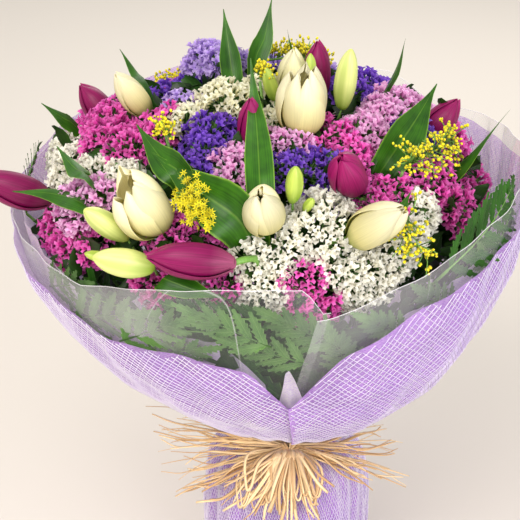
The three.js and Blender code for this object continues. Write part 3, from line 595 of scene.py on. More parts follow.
# Net thread: fine spun polyester, dyed lilac, slightly shiny and letting light through
def threadSkin(name, dark, light, through):
    mat = newMaterial(name)
    tint = addNode(mat, "Attribute", attribute_name="tint")
    place = addNode(mat, "TexCoord")
    patches = addNode(mat, "TexNoise", {"Vector": place.outputs["Object"], "Scale": 18, "Detail": 2})
    both = addNode(mat, "Math", {0: tint.outputs["Fac"], 1: patches}, operation="ADD")
    share = addNode(mat, "MapRange", {"Value": both, "From Min": 0.5, "From Max": 1.5})
    colour = addNode(mat, "Mix", {"Factor": share, 6: paint(dark), 7: paint(light)}, data_type="RGBA")
    return setOutput(mat, thinSurface(mat, colour, through, {"Roughness": 0.45, "Sheen Weight": 0.3}))


# The net between its pale threads: a finer lilac mesh that is drawn as a veil with small cells, each painted
# darker in its middle as the shade of the depths seen through the holes
def veilSkin(name, dark, light, full, airy, through):
    mat = newMaterial(name)
    place = addNode(mat, "UVMap", uv_map="pattern")
    # the fine mesh has a thread each 1.5 mm on the slant
    slant = addNode(mat, "Mapping", {"Vector": place, "Rotation": (0, 0, 0.7854), "Scale": (667, 667, 1)})
    cells = addNode(mat, "TexVoronoi", {"Vector": slant, "Scale": 1, "Randomness": 0.35})
    # painted shade: dark in each cell's middle, light towards its threads
    shade = addNode(mat, "MapRange", {"Value": cells, "From Min": 0.1, "From Max": 0.6})
    colour = addNode(mat, "Mix", {"Factor": shade, 6: paint(dark), 7: paint(light)}, data_type="RGBA")
    # fuller low down, where the cloth is gathered, and airy at its rims
    rim = addNode(mat, "Attribute", attribute_name="rim")
    share = addNode(mat, "MapRange", {"Value": rim.outputs["Fac"], "To Min": full, "To Max": airy})
    patches = addNode(mat, "TexNoise", {"Vector": place, "Scale": 22, "Detail": 4})
    uneven = addNode(mat, "MapRange", {"Value": patches, "From Min": 0.3, "From Max": 0.7,
                                       "To Min": 0.82, "To Max": 1.12})
    cover = addNode(mat, "Math", {0: share, 1: uneven}, operation="MULTIPLY", use_clamp=True)
    cloth = thinSurface(mat, colour, through, {"Roughness": 0.7, "Sheen Weight": 0.3})
    holes = addNode(mat, "BsdfTransparent", {"Color": (1, 1, 1, 1)})
    return setOutput(mat, addNode(mat, "MixShader", {0: cover, 1: holes, 2: cloth}))


# Clear cellophane: a thin sheet that mirrors lamps, milky where it is loose, with soft creases along it that
# are drawn as pale lines, painted highlights
def filmSkin():
    mat = newMaterial("clear cellophane")
    place = addNode(mat, "UVMap", uv_map="pattern")
    # creases lie some 60 mm apart and run up the sheet
    spread = addNode(mat, "Mapping", {"Vector": place, "Scale": (14, 3.5, 1), "Rotation": (0, 0, 0.25)})
    folds = addNode(mat, "TexNoise", {"Vector": spread, "Scale": 1, "Detail": 1.5})
    middle = addNode(mat, "Math", {0: folds, 1: 0.5}, operation="SUBTRACT")
    near = addNode(mat, "Math", {0: middle}, operation="ABSOLUTE")
    # painted highlight: a pale milky line along each crease, as if it caught the light
    creaseHighlight = addNode(mat, "MapRange", {"Value": near, "From Max": 0.006, "To Min": 0.34, "To Max": 0})
    cloudy = addNode(mat, "TexNoise", {"Vector": spread, "Scale": 0.8, "Detail": 3})
    haze = addNode(mat, "MapRange", {"Value": cloudy, "From Min": 0.35, "From Max": 0.7,
                                     "To Min": 0.05, "To Max": 0.27})
    cover = addNode(mat, "Math", {0: creaseHighlight, 1: haze}, operation="MAXIMUM")
    bump = addNode(mat, "Bump", {"Height": folds, "Strength": 0.6, "Distance": 0.006})
    facing = addNode(mat, "LayerWeight", {"Blend": 0.12, "Normal": bump})
    shine = addNode(mat, "MapRange", {"Value": facing, "To Max": 0.35})
    clear = addNode(mat, "BsdfTransparent", {"Color": paint("fafbfb")})
    mirror = addNode(mat, "BsdfGlossy", {"Roughness": 0.1, "Normal": bump})
    pane = addNode(mat, "MixShader", {0: shine, 1: clear, 2: mirror})
    milk = addNode(mat, "BsdfPrincipled", {"Base Color": paint("f4f1f6"), "Roughness": 0.25})
    return setOutput(mat, addNode(mat, "MixShader", {0: cover, 1: pane, 2: milk}))


# The film's cut edge, which gathers light and shows as a pale line: the pale colour is a painted highlight
def filmRimSkin():
    mat = newMaterial("cellophane edge")
    place = addNode(mat, "UVMap", uv_map="pattern")
    broken = addNode(mat, "TexNoise", {"Vector": place, "Scale": 35, "Detail": 2})
    cover = addNode(mat, "MapRange", {"Value": broken, "From Min": 0.3, "From Max": 0.65,
                                      "To Min": 0.1, "To Max": 0.7})
    return setOutput(mat, addNode(mat, "BsdfPrincipled", {
        "Base Color": paint("f4f2f6"), "Roughness": 0.15, "Alpha": cover}))


petalSkins = {
    "magenta": petalSkin("magenta tulip petal", "9a4a6c", "7a0e4a", "8e1658", 0.32, 0.06),
    "cream": petalSkin("cream tulip petal", "a8b44a", "e8e09c", "f3eed0", 0.07, 0.34),
}
calyxSkins = {
    "pink": papery("hot pink statice", "981a70", "e83cb2", "f884d6", 0.33),
    "rose": papery("pale pink statice", "d47cc0", "f6aae4", "ffd4f6", 0.33),
    "violet": papery("violet statice", "3a1488", "662cc0", "9664de", 0.3),
    "lilac": papery("lilac statice", "8564c0", "bd98ea", "d9c4f6", 0.35),
    "white": papery("white statice", "f2f0dc", "fbf8ea", "fffdf4", 0.34),
    "cream": papery("cream statice", "d2cd92", "f8f4d4", "fdfbe8", 0.34),
}
# the goldenrod uses the same ramp, so the lower parts of each bead and star carry painted shade
goldSkin = papery("goldenrod floret", "a09a00", "e6d600", "fcec20", 0.15)
budSkin = tepalSkin("lily bud", "8cb028", "96bc2e", "e9ee98", "dce47c")
greenBudSkin = tepalSkin("green lily bud", "6f9c22", "7da82c", "c8db62", "a9c63c")
tulipLeafSkin = leafSkin("tulip leaf", "184206", "3a740d", "90ba44", 0.4)
fernSkin = leafSkin("fern leaflet", "173f0a", "326a15", "62963a", 0.45, 10)
paleFernSkin = leafSkin("pale fern leaflet", "345c26", "628a44", "8fae6c", 0.4, 10)
fillSkin = leafSkin("dark filling green", "152e08", "2a5410", "3f6a22", 0.5, 10)
greenSkin = stemSkin("fresh green stem", "4c7f2c", "86b352")
wingSkin = stemSkin("statice stem", "35591f", "648f42")
raffia = raffiaSkin()
paleThread = threadSkin("pale net thread", "e3d2f5", "fdf9ff", 0.25)
veil = veilSkin("lilac net ground", "9a56d2", "d6a6f4", 0.8, 0.6, 0.15)
# the net's folded ends take a much paler copy of the net's lilac: painted light, making up for the shade they
# lie in behind the film
paintedLightNet = veilSkin("folded lilac net", "dcc2f6", "fcf2ff", 0.97, 0.9, 0.5)
cellophane = filmSkin()
rimSkin = filmRimSkin()
print("materials ready")


# The recipe, as in the part's drawing. A flower's name starts with its colour, at is where its middle stands
# on the dome and aim the way that it looks, both as side and tilt; leaves go through points, widest at half

def colourOf(name):
    return name.split("_")[0]


tulips = [
    {"name": "magenta_left", "at": (-77, 76, 14), "aim": (-84, 68), "long": 60, "wide": 28,
     "open": 0.1, "leaves": [([(-144, -121, 393), (-171, -97, 394), (-204, -82, 390)], 8),
                             ([(-142, -106, 408), (-157, -92, 413), (-173, -57, 416)], 8)]},
    {"name": "magenta_front", "at": (-15, 73, 17), "aim": (-88, 84), "long": 62, "wide": 27,
     "open": 0, "leaves": [([(-90, -170, 361), (-70, -184, 360), (-46, -186, 353)], 9)]},
    {"name": "magenta_top", "at": (88, 13, 1), "aim": (0, 4), "long": 50, "wide": 22,
     "open": 0, "leaves": [([(8, 26, 446), (2, 30, 462), (-1, 32, 478)], 6)]},
    {"name": "magenta_right", "at": (24, 49, 8), "aim": (-20, 40), "long": 50, "wide": 28,
     "open": 0.3, "leaves": [([(57, -150, 397), (74, -147, 401), (84, -134, 411)], 8)]},
    {"name": "magenta_far_right", "at": (88, 49.5, -5), "aim": (86, 34), "long": 48, "wide": 24,
     "open": 0, "leaves": [([(112, -52, 384), (134, -56, 408), (164, -44, 440)], 11)]},
    {"name": "magenta_inner", "at": (-6, 27, -4), "aim": (0, 14), "long": 48, "wide": 20,
     "open": 0, "leaves": [([(-42, -2, 444), (-46, 14, 470), (-50, 26, 496)], 8)]},
    {"name": "magenta_far_left", "at": (-108, 51, -7), "aim": (-104, 40), "long": 44,
     "wide": 24, "open": 0, "leaves": [([(-164, 22, 398), (-176, 18, 410), (-192, 14, 424)], 7)]},
    {"name": "cream_left", "at": (-29, 61.5, 15), "aim": (-52, 38), "long": 54, "wide": 42,
     "open": 0.5, "slim": 0.84, "lean": (-60, 28),
     "petals": [(180, 1, 4, 1.12), (60, 1, 1, 0.88), (300, 1, 5, 0.84), (15, 0, 0, 0.86), (125, 0, 2, 1.02),
                (262, 0, 15, 0.82)],
     "leaves": [([(-74, -136, 420), (-92, -121, 432), (-111, -86, 444)], 12)]},
    {"name": "cream_top", "at": (22, 24, 8), "aim": (20, 10), "long": 56, "wide": 40,
     "open": 0.35, "slim": 0.82,
     "petals": [(180, 1, 3, 1.06), (60, 1, 3, 1.0), (300, 1, 5, 0.96), (20, 0, 2, 0.9), (130, 0, 6, 1.0),
                (250, 0, 10, 0.92)],
     "leaves": [([(-26, 8, 450), (-18, 22, 476), (-13, 32, 502)], 8)]},
    {"name": "cream_behind", "at": (50, 9, 1), "aim": (30, 6), "long": 46, "wide": 24,
     "open": 0, "leaves": [([(74, 16, 432), (84, 20, 452), (90, 22, 474)], 7)]},
    {"name": "cream_right", "at": (26, 65, 14), "aim": (58, 52), "long": 54, "wide": 34,
     "open": 0.5, "slim": 0.88, "way": (0.86, -8),
     "leaves": [([(72, -88, 418), (90, -66, 436), (110, -32, 456)], 15)]},
    {"name": "cream_centre", "at": (0, 58, 12), "aim": (-10, 34), "long": 46, "wide": 30,
     "open": 0.4, "petals": [(180, 1, 2, 1.0), (60, 1, 2, 0.97), (300, 1, 2, 0.97), (35, 0, 1, 0.94),
                             (150, 0, 3, 1.0), (275, 0, 1, 0.92)],
     "leaves": [([(-34, -166, 400), (-61, -153, 418), (-99, -115, 434)], 19),
                ([(-21, -157, 412), (-24, -110, 447), (-29, -26, 474)], 10)]},
    {"name": "cream_far_left", "at": (-86, 33, -1), "aim": (-80, 34), "long": 44, "wide": 22,
     "open": 0, "leaves": [([(-106, 8, 436), (-118, 14, 450), (-130, 20, 466)], 8)]},
]

# A bud is side, tilt and lift, its length and width, and the side and tilt that it looks to
lilies = [
    {"name": "lily_buds_centre", "under": (2, 54, -20),
     "buds": [(8, 51, 14, 34, 14, 10, 20), (-3, 56, 2, 18, 8, -20, 30), (12, 56, 0, 18, 8, 30, 40)]},
    {"name": "lily_buds_left", "under": (-38, 72, -20),
     "buds": [(-37, 68, 12, 44, 19, -62, 48), (-29.5, 77, 16, 46, 23, -76, 74),
              (-38, 79, 8, 20, 9, -80, 70)]},
    {"name": "lily_buds_top", "under": (58, 16, -20),
     "buds": [(64, 21, 9, 50, 19, 60, 8), (54, 13, 10, 28, 10, 0, 10), (8, 13, 4, 30, 12, -40, 20)]},
]

# A plume goes through places on the dome
goldenrods = [
    {"name": "goldenrod_front_left",
     "plumes": [[(-19, 53, 9), (-17, 57, 12), (-13, 62, 12)], [(-40, 36, 6), (-34, 38, 8)]]},
    {"name": "goldenrod_top",
     "plumes": [[(180, 14, -3), (150, 18, 0), (118, 17, 0)], [(-4, 9, 6), (6, 12, 8)]]},
    {"name": "goldenrod_right",
     "plumes": [[(44, 51, 6), (54, 50, 6), (66, 51, 4), (78, 52, 2)],
                [(36, 65, 10), (33, 71, 12), (38, 76, 12)]]},
    {"name": "goldenrod_back_left",
     "plumes": [[(-94, 84, 8), (-88, 84, 8)], [(-156, 60, -4), (-146, 62, -4)],
                [(152, 88, 4), (146, 82, 6)]]},
]

# A crest is side, tilt, radius and, where it stands out of the dome, its lift
statices = [
    ("pink_left", [(-93, 45, 20), (-76, 47, 24), (-61, 43, 20), (-57, 29, 19)]),
    ("pink_low_left", [(-71, 95, 18, -4), (-58, 87, 18, -2), (-48, 79, 14), (-27, 91, 18, -4),
                       (-18, 96, 14, -5)]),
    ("pink_front", [(-25, 69, 16), (-12, 60, 14), (-9, 84, 12), (10, 83, 19), (14, 93, 18, -3),
                    (9, 102, 13, -3)]),
    ("pink_upper_right", [(36, 31, 18), (34, 41, 20), (31, 57, 11)]),
    ("pink_right", [(41, 56, 16), (56, 57, 20), (66, 63, 18), (62, 72, 15), (98, 61, 22), (92, 82, 19, -2),
                            (114, 80, 24)]),
    ("rose_centre", [(-12, 41, 24), (5, 32, 15), (15, 31, 13)]),
    ("rose_left", [(-53, 67, 20, 12), (-48, 61, 15, 8)]),
    ("rose_right", [(54, 33, 17), (82, 34, 19), (106, 42, 25), (122, 62, 25)]),
    ("violet_left", [(-30, 27, 16), (-26, 37, 17), (-22, 46, 13)]),
    ("violet_centre", [(7, 41, 14), (16, 41, 16), (25, 41, 12)]),
    ("violet_right", [(100, 23, 17), (76, 43, 18), (132, 41, 24), (134, 84, 24, -2)]),
    ("lilac_top", [(-146, 25, 19, 14), (-138, 14, 17, 12), (-68, 22, 13), (-178, 38, 26, 2), (156, 41, 24)]),
    ("white_left", [(-78, 62, 19), (-62, 57, 17), (-49, 53, 14), (-100, 68, 20)]),
    ("white_front", [(17, 63, 27, 6), (5, 69, 18, 2), (-3, 74, 15), (0, 84, 19), (-14, 91, 12, -3)]),
    ("white_right", [(19, 80, 18), (28, 86, 20, -2), (24, 93, 15, -4), (34, 78, 16), (46, 65, 16),
                     (40, 72, 12)]),
    ("cream_top", [(-42, 14, 19, 6), (10, 3, 14, 2), (-49, 26, 12), (8, 22, 12)]),
    ("pink_back", [(-152, 66, 26), (-134, 64, 26), (-117, 64, 24), (-148, 86, 22, -2), (-130, 86, 22, -2),
                           (-112, 84, 22)]),
    ("white_back", [(160, 61, 28), (-176, 60, 28), (152, 84, 22, -2), (172, 84, 25, -2), (-167, 84, 25, -2)]),
    ("violet_back", [(-154, 44, 26, -6), (-128, 42, 24, -10), (-108, 37, 17, -12)]),
]

# A frond is where it starts, where its tip lies and its width, with both places on the dome
ferns = [
    ("fern_right", [((42, 85, 12), (72, 73, 20), 52), ((62, 91, 8), (86, 78, 14), 44)]),
    ("fern_left", [((-34, 102, 0), (-60, 101, 2), 34), ((-84, 90, 0), (-98, 70, 5), 40)]),
    ("fern_front", [((4, 97, 1), (-22, 91, 3), 34)]),
    ("fern_low_left", [((-8, 108, 0), (-36, 110, 2), 30)]),
    ("fern_back", [((150, 102, 0), (116, 98, 1), 42), ((-140, 104, -1), (-110, 99, 0), 40)]),
]

# Stems: each has its place where the raffia ties them, and stands on the floor. A few fork lower, further to
# one side or with bowed twigs, to pass their neighbours

bunch = []
forks = {
    "goldenrod_front_left": (0.5, 0, 0.12), "goldenrod_top": (0.35, 0, 0), "pink_low_left": (0.5, 0, 0.12),
    "pink_front": (0.35, 0, 0), "rose_left": (0.6, 0, 0.12), "white_front": (0.7, -9, 0),
    "cream_top": (0.5, 0, 0),
}


# A flower's place in the bunch, by the middle of the places that it has on the dome
def seat(places):
    mean = sum((onDome(p[0], p[1]) for p in places), Vector((0, 0, 0))) / len(places)
    aim = mean - Vector((dome["x"], 0, dome["z"] - 60))
    place = {"side": math.degrees(math.atan2(aim.x, -aim.y)), "mean": mean,
             "tilt": math.degrees(math.atan2(math.hypot(aim.x, aim.y), aim.z))}
    bunch.append(place)
    return place


# Rings of stems at the tie, fullest inside, each turned to lie under its flowers
def settleNeck():
    ordered = sorted(bunch, key=lambda p: p["tilt"])
    ring, start = 0, 0
    while start < len(ordered):
        size = min(1 if ring == 0 else 6 * ring, len(ordered) - start)
        members = sorted(ordered[start:start + size], key=lambda p: p["side"])
        lead = sum(m["side"] - 360 * i / size for i, m in enumerate(members)) / size
        for i, m in enumerate(members):
            m["ring"], m["turn"] = ring, lead + 360 * i / size
        start += size
        ring += 1


def ringPoint(place, twist, spread, height):
    turn = math.radians(place["turn"] + twist)
    reach = stemPlan["pitch"] * place["ring"] * spread
    return Vector((reach * math.sin(turn), -reach * math.cos(turn), height))


def neckPoint(place):
    return ringPoint(place, stemPlan["turnAtNeck"], 1, tieHeight)


tulipPlaces = {t["name"]: seat([t["at"]]) for t in tulips}
lilyPlaces = {f["name"]: seat(f["buds"]) for f in lilies}
goldPlaces = {f["name"]: seat([p for plume in f["plumes"] for p in plume]) for f in goldenrods}
staticePlaces = {name: seat(crests) for name, crests in statices}
fernPlaces = {name: seat([f[0] for f in fronds]) for name, fronds in ferns}
settleNeck()


# The straight run from the floor through the tie, then gently on to its top
def addStem(heap, place, top, radius, slot=0, under=None):
    foot, neck = ringPoint(place, stemPlan["turnAtFoot"], stemPlan["footSpread"], 0), neckPoint(place)
    route = [foot, foot.lerp(neck, 0.5), neck]
    route += curveThrough([neck, neck.lerp(top, 0.45), under or neck.lerp(top, 0.9), top], 8)[1:]
    addTube(heap, route, [radius * 1.15, radius * 1.1] + [radius] * (len(route) - 2), 7, slot)


# Level and square to the way from one point to another
def sideways(start, end):
    return Vector((start.y - end.y, end.x - start.x, 0)).normalized()


# A stem that forks into twigs to the given ends
def addBranches(heap, name, place, ends, radius, twig, slot=0):
    share, swing, bow = forks.get(name, (0.6, 0, 0))
    neck = neckPoint(place)
    fork = neck.lerp(place["mean"], share) + sideways(neck, place["mean"]) * swing
    addStem(heap, place, fork, radius, slot)
    low = fork.lerp(neck, 0.02)
    for end in ends:
        level = (end - low) * Vector((1, 1, 0))
        addTube(heap, curveThrough([low, low.lerp(end, 0.55) + level * bow, end], 6), [twig] * 7, 5, slot)


# Tulips

tulipPlan = {
    "across": 8, "up": 11, "skin": 0.5, "covers": (1.14, 1.0), "tuck": 0.09, "stem": 2.5,
    # height from the foot and share of the girth where the stem widens into the bloom
    "base": [(-1, 0.22), (2, 0.36), (5, 0.45)],
    "petals": [(180, 1, 0, 0.98), (60, 1, 0, 0.95), (300, 1, 0, 0.95), (0, 0, 0, 0.97), (120, 0, 0, 1.0),
               (240, 0, 0, 0.98)],
    # how far out a petal stands up its length, for a closed and an open bloom
    "outline": [(0, 0.3, 0.3), (0.1, 0.62, 0.62), (0.28, 0.95, 0.95), (0.5, 1, 1), (0.72, 0.86, 0.92),
                (0.88, 0.5, 0.7), (1, 0.09, 0.34)],
    # how wide it is cut, for a pointed and a blunt petal
    "cut": [(0, 0.5, 0.5), (0.15, 0.8, 0.8), (0.4, 1, 1), (0.62, 1, 1), (0.78, 0.86, 0.93), (0.88, 0.68, 0.8),
            (0.95, 0.44, 0.68), (0.985, 0.24, 0.5), (1, 0.06, 0.3)],
    "cup": (0.05, 0.13),  # how much lower its sides end than its middle, pointed and blunt
}


# One petal, as wide as it grows and laid round the bloom, leaning out from its foot by some degrees.
# turn 0 faces the viewer, ring 0 is outside and 1 inside
def addPetal(heap, tulip, petal, girth, front, axes, foot):
    turn, ring, lean, tall = petal
    long, opened = tulip["long"] * tall, tulip["open"]
    columns, rows = tulipPlan["across"], tulipPlan["up"]
    rand = random.Random(tulip["name"] + str(turn))
    blunt = 1 if colourOf(tulip["name"]) == "cream" else 0  # the cream tulips' petals end rounder
    body = [(v, lerp(shut, full, opened)) for v, shut, full in tulipPlan["outline"]]
    cut = [(v, lerp(sharp, full, blunt)) for v, sharp, full in tulipPlan["cut"]]
    cup = lerp(*tulipPlan["cup"], blunt)
    cover = lerp(*tulipPlan["covers"], smooth(opened, 0.2, 0.7))
    middle = math.radians(turn) + front
    hinge = Vector((-math.sin(middle), math.cos(middle), 0))
    tip = Matrix.Rotation(math.radians(lean), 3, hinge)
    root = Vector((math.cos(middle), math.sin(middle), 0)) * girth * 0.3
    points, coords = [], []
    for r in range(rows + 1):
        v = 1 - (1 - r / rows) ** 1.35
        for c in range(columns + 1):
            u = 2 * c / columns - 1
            reach = girth * (along(body, v) - 0.1 * ring)
            span = min(cover * along(cut, v) * girth / max(reach, 0.1), 1.25)
            ripple = 0.02 * math.sin(9 * v + 4 * u + turn) * v
            reach += girth * (tulipPlan["tuck"] * u - 0.05 * abs(u) ** 3 + ripple)
            around = middle + u * span
            point = 0.012 * math.exp(-(u / 0.15) ** 2) * v ** 4
            high = long * (v - cup * u * u * v + point)
            p = Vector((reach * math.cos(around), reach * math.sin(around), high))
            points.append(tuple(foot + axes @ (root + tip @ (p - root))))
            coords.append(((u + 1) / 2, v))
    heap.add(points, gridFaces(rows, columns), coords, 0, rand.random())


# carry is how much of its lean a leaf keeps from row to row, and fold how deep its two halves are folded
leafPlan = {"along": 18, "across": 6, "carry": 0.825, "fold": 0.32, "over": 4, "clear": (-3, 16)}
blades = []  # the leaves' rows, for keeping florets off them
domeHeart = Vector((dome["x"], 0, dome["z"] - 40))


# A tulip leaf along its route, so wide to each side of its rib
def addLeaf(heap, route, half, tint):
    carry = leafPlan["carry"]
    steps, across = leafPlan["along"], leafPlan["across"]
    path = curveThrough(route, steps)
    points, coords = [], []
    over = None
    for i, p in enumerate(path):
        t = i / steps
        run = (path[min(i + 1, steps)] - path[max(i - 1, 0)]).normalized()
        square = run.cross((p - domeHeart).normalized())
        if over is None:
            over = square
        if square.dot(over) < 0:
            square.negate()
        over = ((over - run * over.dot(run)) * carry + square * (1 - carry)).normalized()
        up = over.cross(run).normalized()
        wide = lerp(1.6, half, smooth(t, 0.1, 0.6)) * (1 - smooth(t, 0.62, 1.02)) + 0.25
        blades.append((p, over, up, wide, run))
        for k in range(across + 1):
            u = 2 * k / across - 1
            fold = leafPlan["fold"] * wide * abs(u) ** 1.3 + 0.05 * wide * math.sin(7 * t + 3 * u)
            points.append(tuple(p + over * (u * wide) + up * fold))
            coords.append(((u + 1) / 2, t))
    heap.add(points, gridFaces(steps, across), coords, 0, tint)


# True where a point lies over a leaf or just under it
def onLeaf(p):
    under, above = leafPlan["clear"]
    for middle, over, up, wide, run in blades:
        off = p - middle
        if (abs(off.dot(run)) < leafPlan["over"] and abs(off.dot(over)) < wide - 0.5
                and under < off.dot(up) < above):
            return True
    return False


def makeTulips():
    eye = Vector(studio["lookAt"]) + towardsCamera * studio["distance"]
    for tulip in tulips:
        name = tulip["name"]
        place = tulipPlaces[name]
        aim = direction(*tulip["aim"])
        foot = onDome(*tulip["at"]) - aim * tulip["long"] * 0.5
        axes = axesAlong(direction(*tulip.get("lean", tulip["aim"])))
        towards = axes.transposed() @ (eye - foot)
        front = math.atan2(towards.y, towards.x)
        bloom = Heap()
        girth = tulip["wide"] / 2 * tulip.get("slim", 1)
        up = axes.col[2]
        base = tulipPlan["base"]
        addTube(bloom, [foot + up * high for high, _ in base], [girth * wide for _, wide in base], 8)
        for petal in tulip.get("petals", tulipPlan["petals"]):
            addPetal(bloom, tulip, petal, girth, front, axes, foot)
        colour = colourOf(name)
        piece = buildPiece("bloom_" + name, bloom, [petalSkins[colour]], ["tulip_" + name])
        applyModifier(piece, "SOLIDIFY", thickness=tulipPlan["skin"] * mm, offset=-1)
        applyModifier(piece, "SUBSURF", levels=1, render_levels=1)

        greens = Heap()
        out = outward(*tulip["at"][:2])
        neck = neckPoint(place)
        share, swing = tulip.get("way", (0.62, 0))
        under = foot - aim * 12 - out * 22
        under = under + sideways(neck, under) * swing
        addStem(greens, place, foot + aim * 2, tulipPlan["stem"], 1, under)
        for i, (through, half) in enumerate(tulip["leaves"]):
            low = neck.lerp(under, share)
            inner = low.lerp(Vector(through[0]), 0.55) - out * 8
            addLeaf(greens, [low, inner] + [Vector(p) for p in through], half, 0.5 + 0.3 * i)
        buildPiece("leaves_" + name, greens, [tulipLeafSkin, greenSkin], ["tulip_stem_" + name])


makeTulips()
print("tulips made")


# Lily buds

def makeLilies():
    for lily in lilies:
        heap = Heap()
        ends = []
        for i, (side, tilt, lift, long, wide, toSide, toTilt) in enumerate(lily["buds"]):
            aim = direction(toSide, toTilt)
            foot = onDome(side, tilt, lift) - aim * (long / 2)
            ends.append(foot + aim * 2)
            copyInto(heap, budShape, placeCopy(foot, aim, (wide, wide, long), (i, "Z")), 0.5, int(long < 40))
        addBranches(heap, lily["name"], lilyPlaces[lily["name"]], ends, 2.4, 1.4, 2)
        piece = buildPiece(lily["name"] + "_stem", heap, [budSkin, greenBudSkin, greenSkin],
                           [lily["name"]])
        applyModifier(piece, "SUBSURF", levels=1, render_levels=1)


makeLilies()
print("lily buds made")


# Statice

# florets stand in tufts some 17 mm across, with sunken gaps between, deeper on some kinds than on others; the
# florets in the gaps are also painted darker, as shade
staticePlan = {
    "pitch": 4.9, "closer": {"white": 0.92, "cream": 0.94}, "tuft": 17, "fullness": 1.1, "depth": 0.72,
    "relief": {"pink": 5.5, "rose": 4, "violet": 6.5, "lilac": 5, "white": 2.2, "cream": 2.6},
    "rise": 5.5, "lowest": -0.35, "gap": 1.1, "overLeaves": ["rose_left"], "tight": 0.12, "branchlets": 26,
}


def crestFacts(name, side, tilt, width, lift=0):
    radius = width * staticePlan["fullness"]
    deep = radius * staticePlan["depth"]
    out = outward(side, tilt)
    centre = onDome(side, tilt, lift - staticePlan["rise"]) - out * deep
    return {"flower": name, "out": out, "deep": deep, "radius": radius, "centre": centre}


allCrests = [crestFacts(name, *crest) for name, crests in statices for crest in crests]


# True where a floret would stand inside a neighbouring crest, or past the face where two meet
def crowded(p, crest):
    for other in allCrests:
        if other is crest:
            continue
        apart = (crest["centre"] - other["centre"]).length
        if apart > crest["radius"] + other["radius"] + 12:
            continue
        if other["flower"] == crest["flower"]:
            local = axesAlong(other["out"]).transposed() @ (p - other["centre"])
            inside = (local.x / other["radius"], local.y / other["radius"], local.z / other["deep"])
            if Vector(inside).length < 0.9:
                return True
            continue
        away = (crest["centre"] - other["centre"]).normalized()
        share = crest["radius"] / (crest["radius"] + other["radius"])
        face = crest["centre"] + away * (staticePlan["gap"] / 2 - apart * share)
        if (p - face).dot(away) < -1.5:
            return True
    return False


bodies = []
for tulip in tulips:
    towards = direction(*tulip["aim"])
    bodies.append((onDome(*tulip["at"]), towards, tulip["wide"] / 2 + 1.5, tulip["long"] / 2 + 1))
for lily in lilies:
    for side, tilt, lift, long, wide, toSide, toTilt in lily["buds"]:
        bodies.append((onDome(side, tilt, lift), direction(toSide, toTilt), wide / 2 + 1, long / 2))


def insideBloom(p):
    for centre, towards, girth, half in bodies:
        off = p - centre
        up = off.dot(towards)
        if abs(up) < half and (off - towards * up).length < girth * math.sqrt(1 - (up / half) ** 2):
            return True
    return False


# Directions spread evenly over a ball, from its top down
def evenly(count, rand, wander=0.0):
    found = []
    for i in range(count):
        high = 1 - 2 * (i + 0.5) / count
        flat = math.sqrt(1 - high * high)
        turn = i * math.pi * (3 - math.sqrt(5)) + rand.uniform(-1, 1) * wander
        found.append(Vector((flat * math.cos(turn), flat * math.sin(turn), high)))
    return found


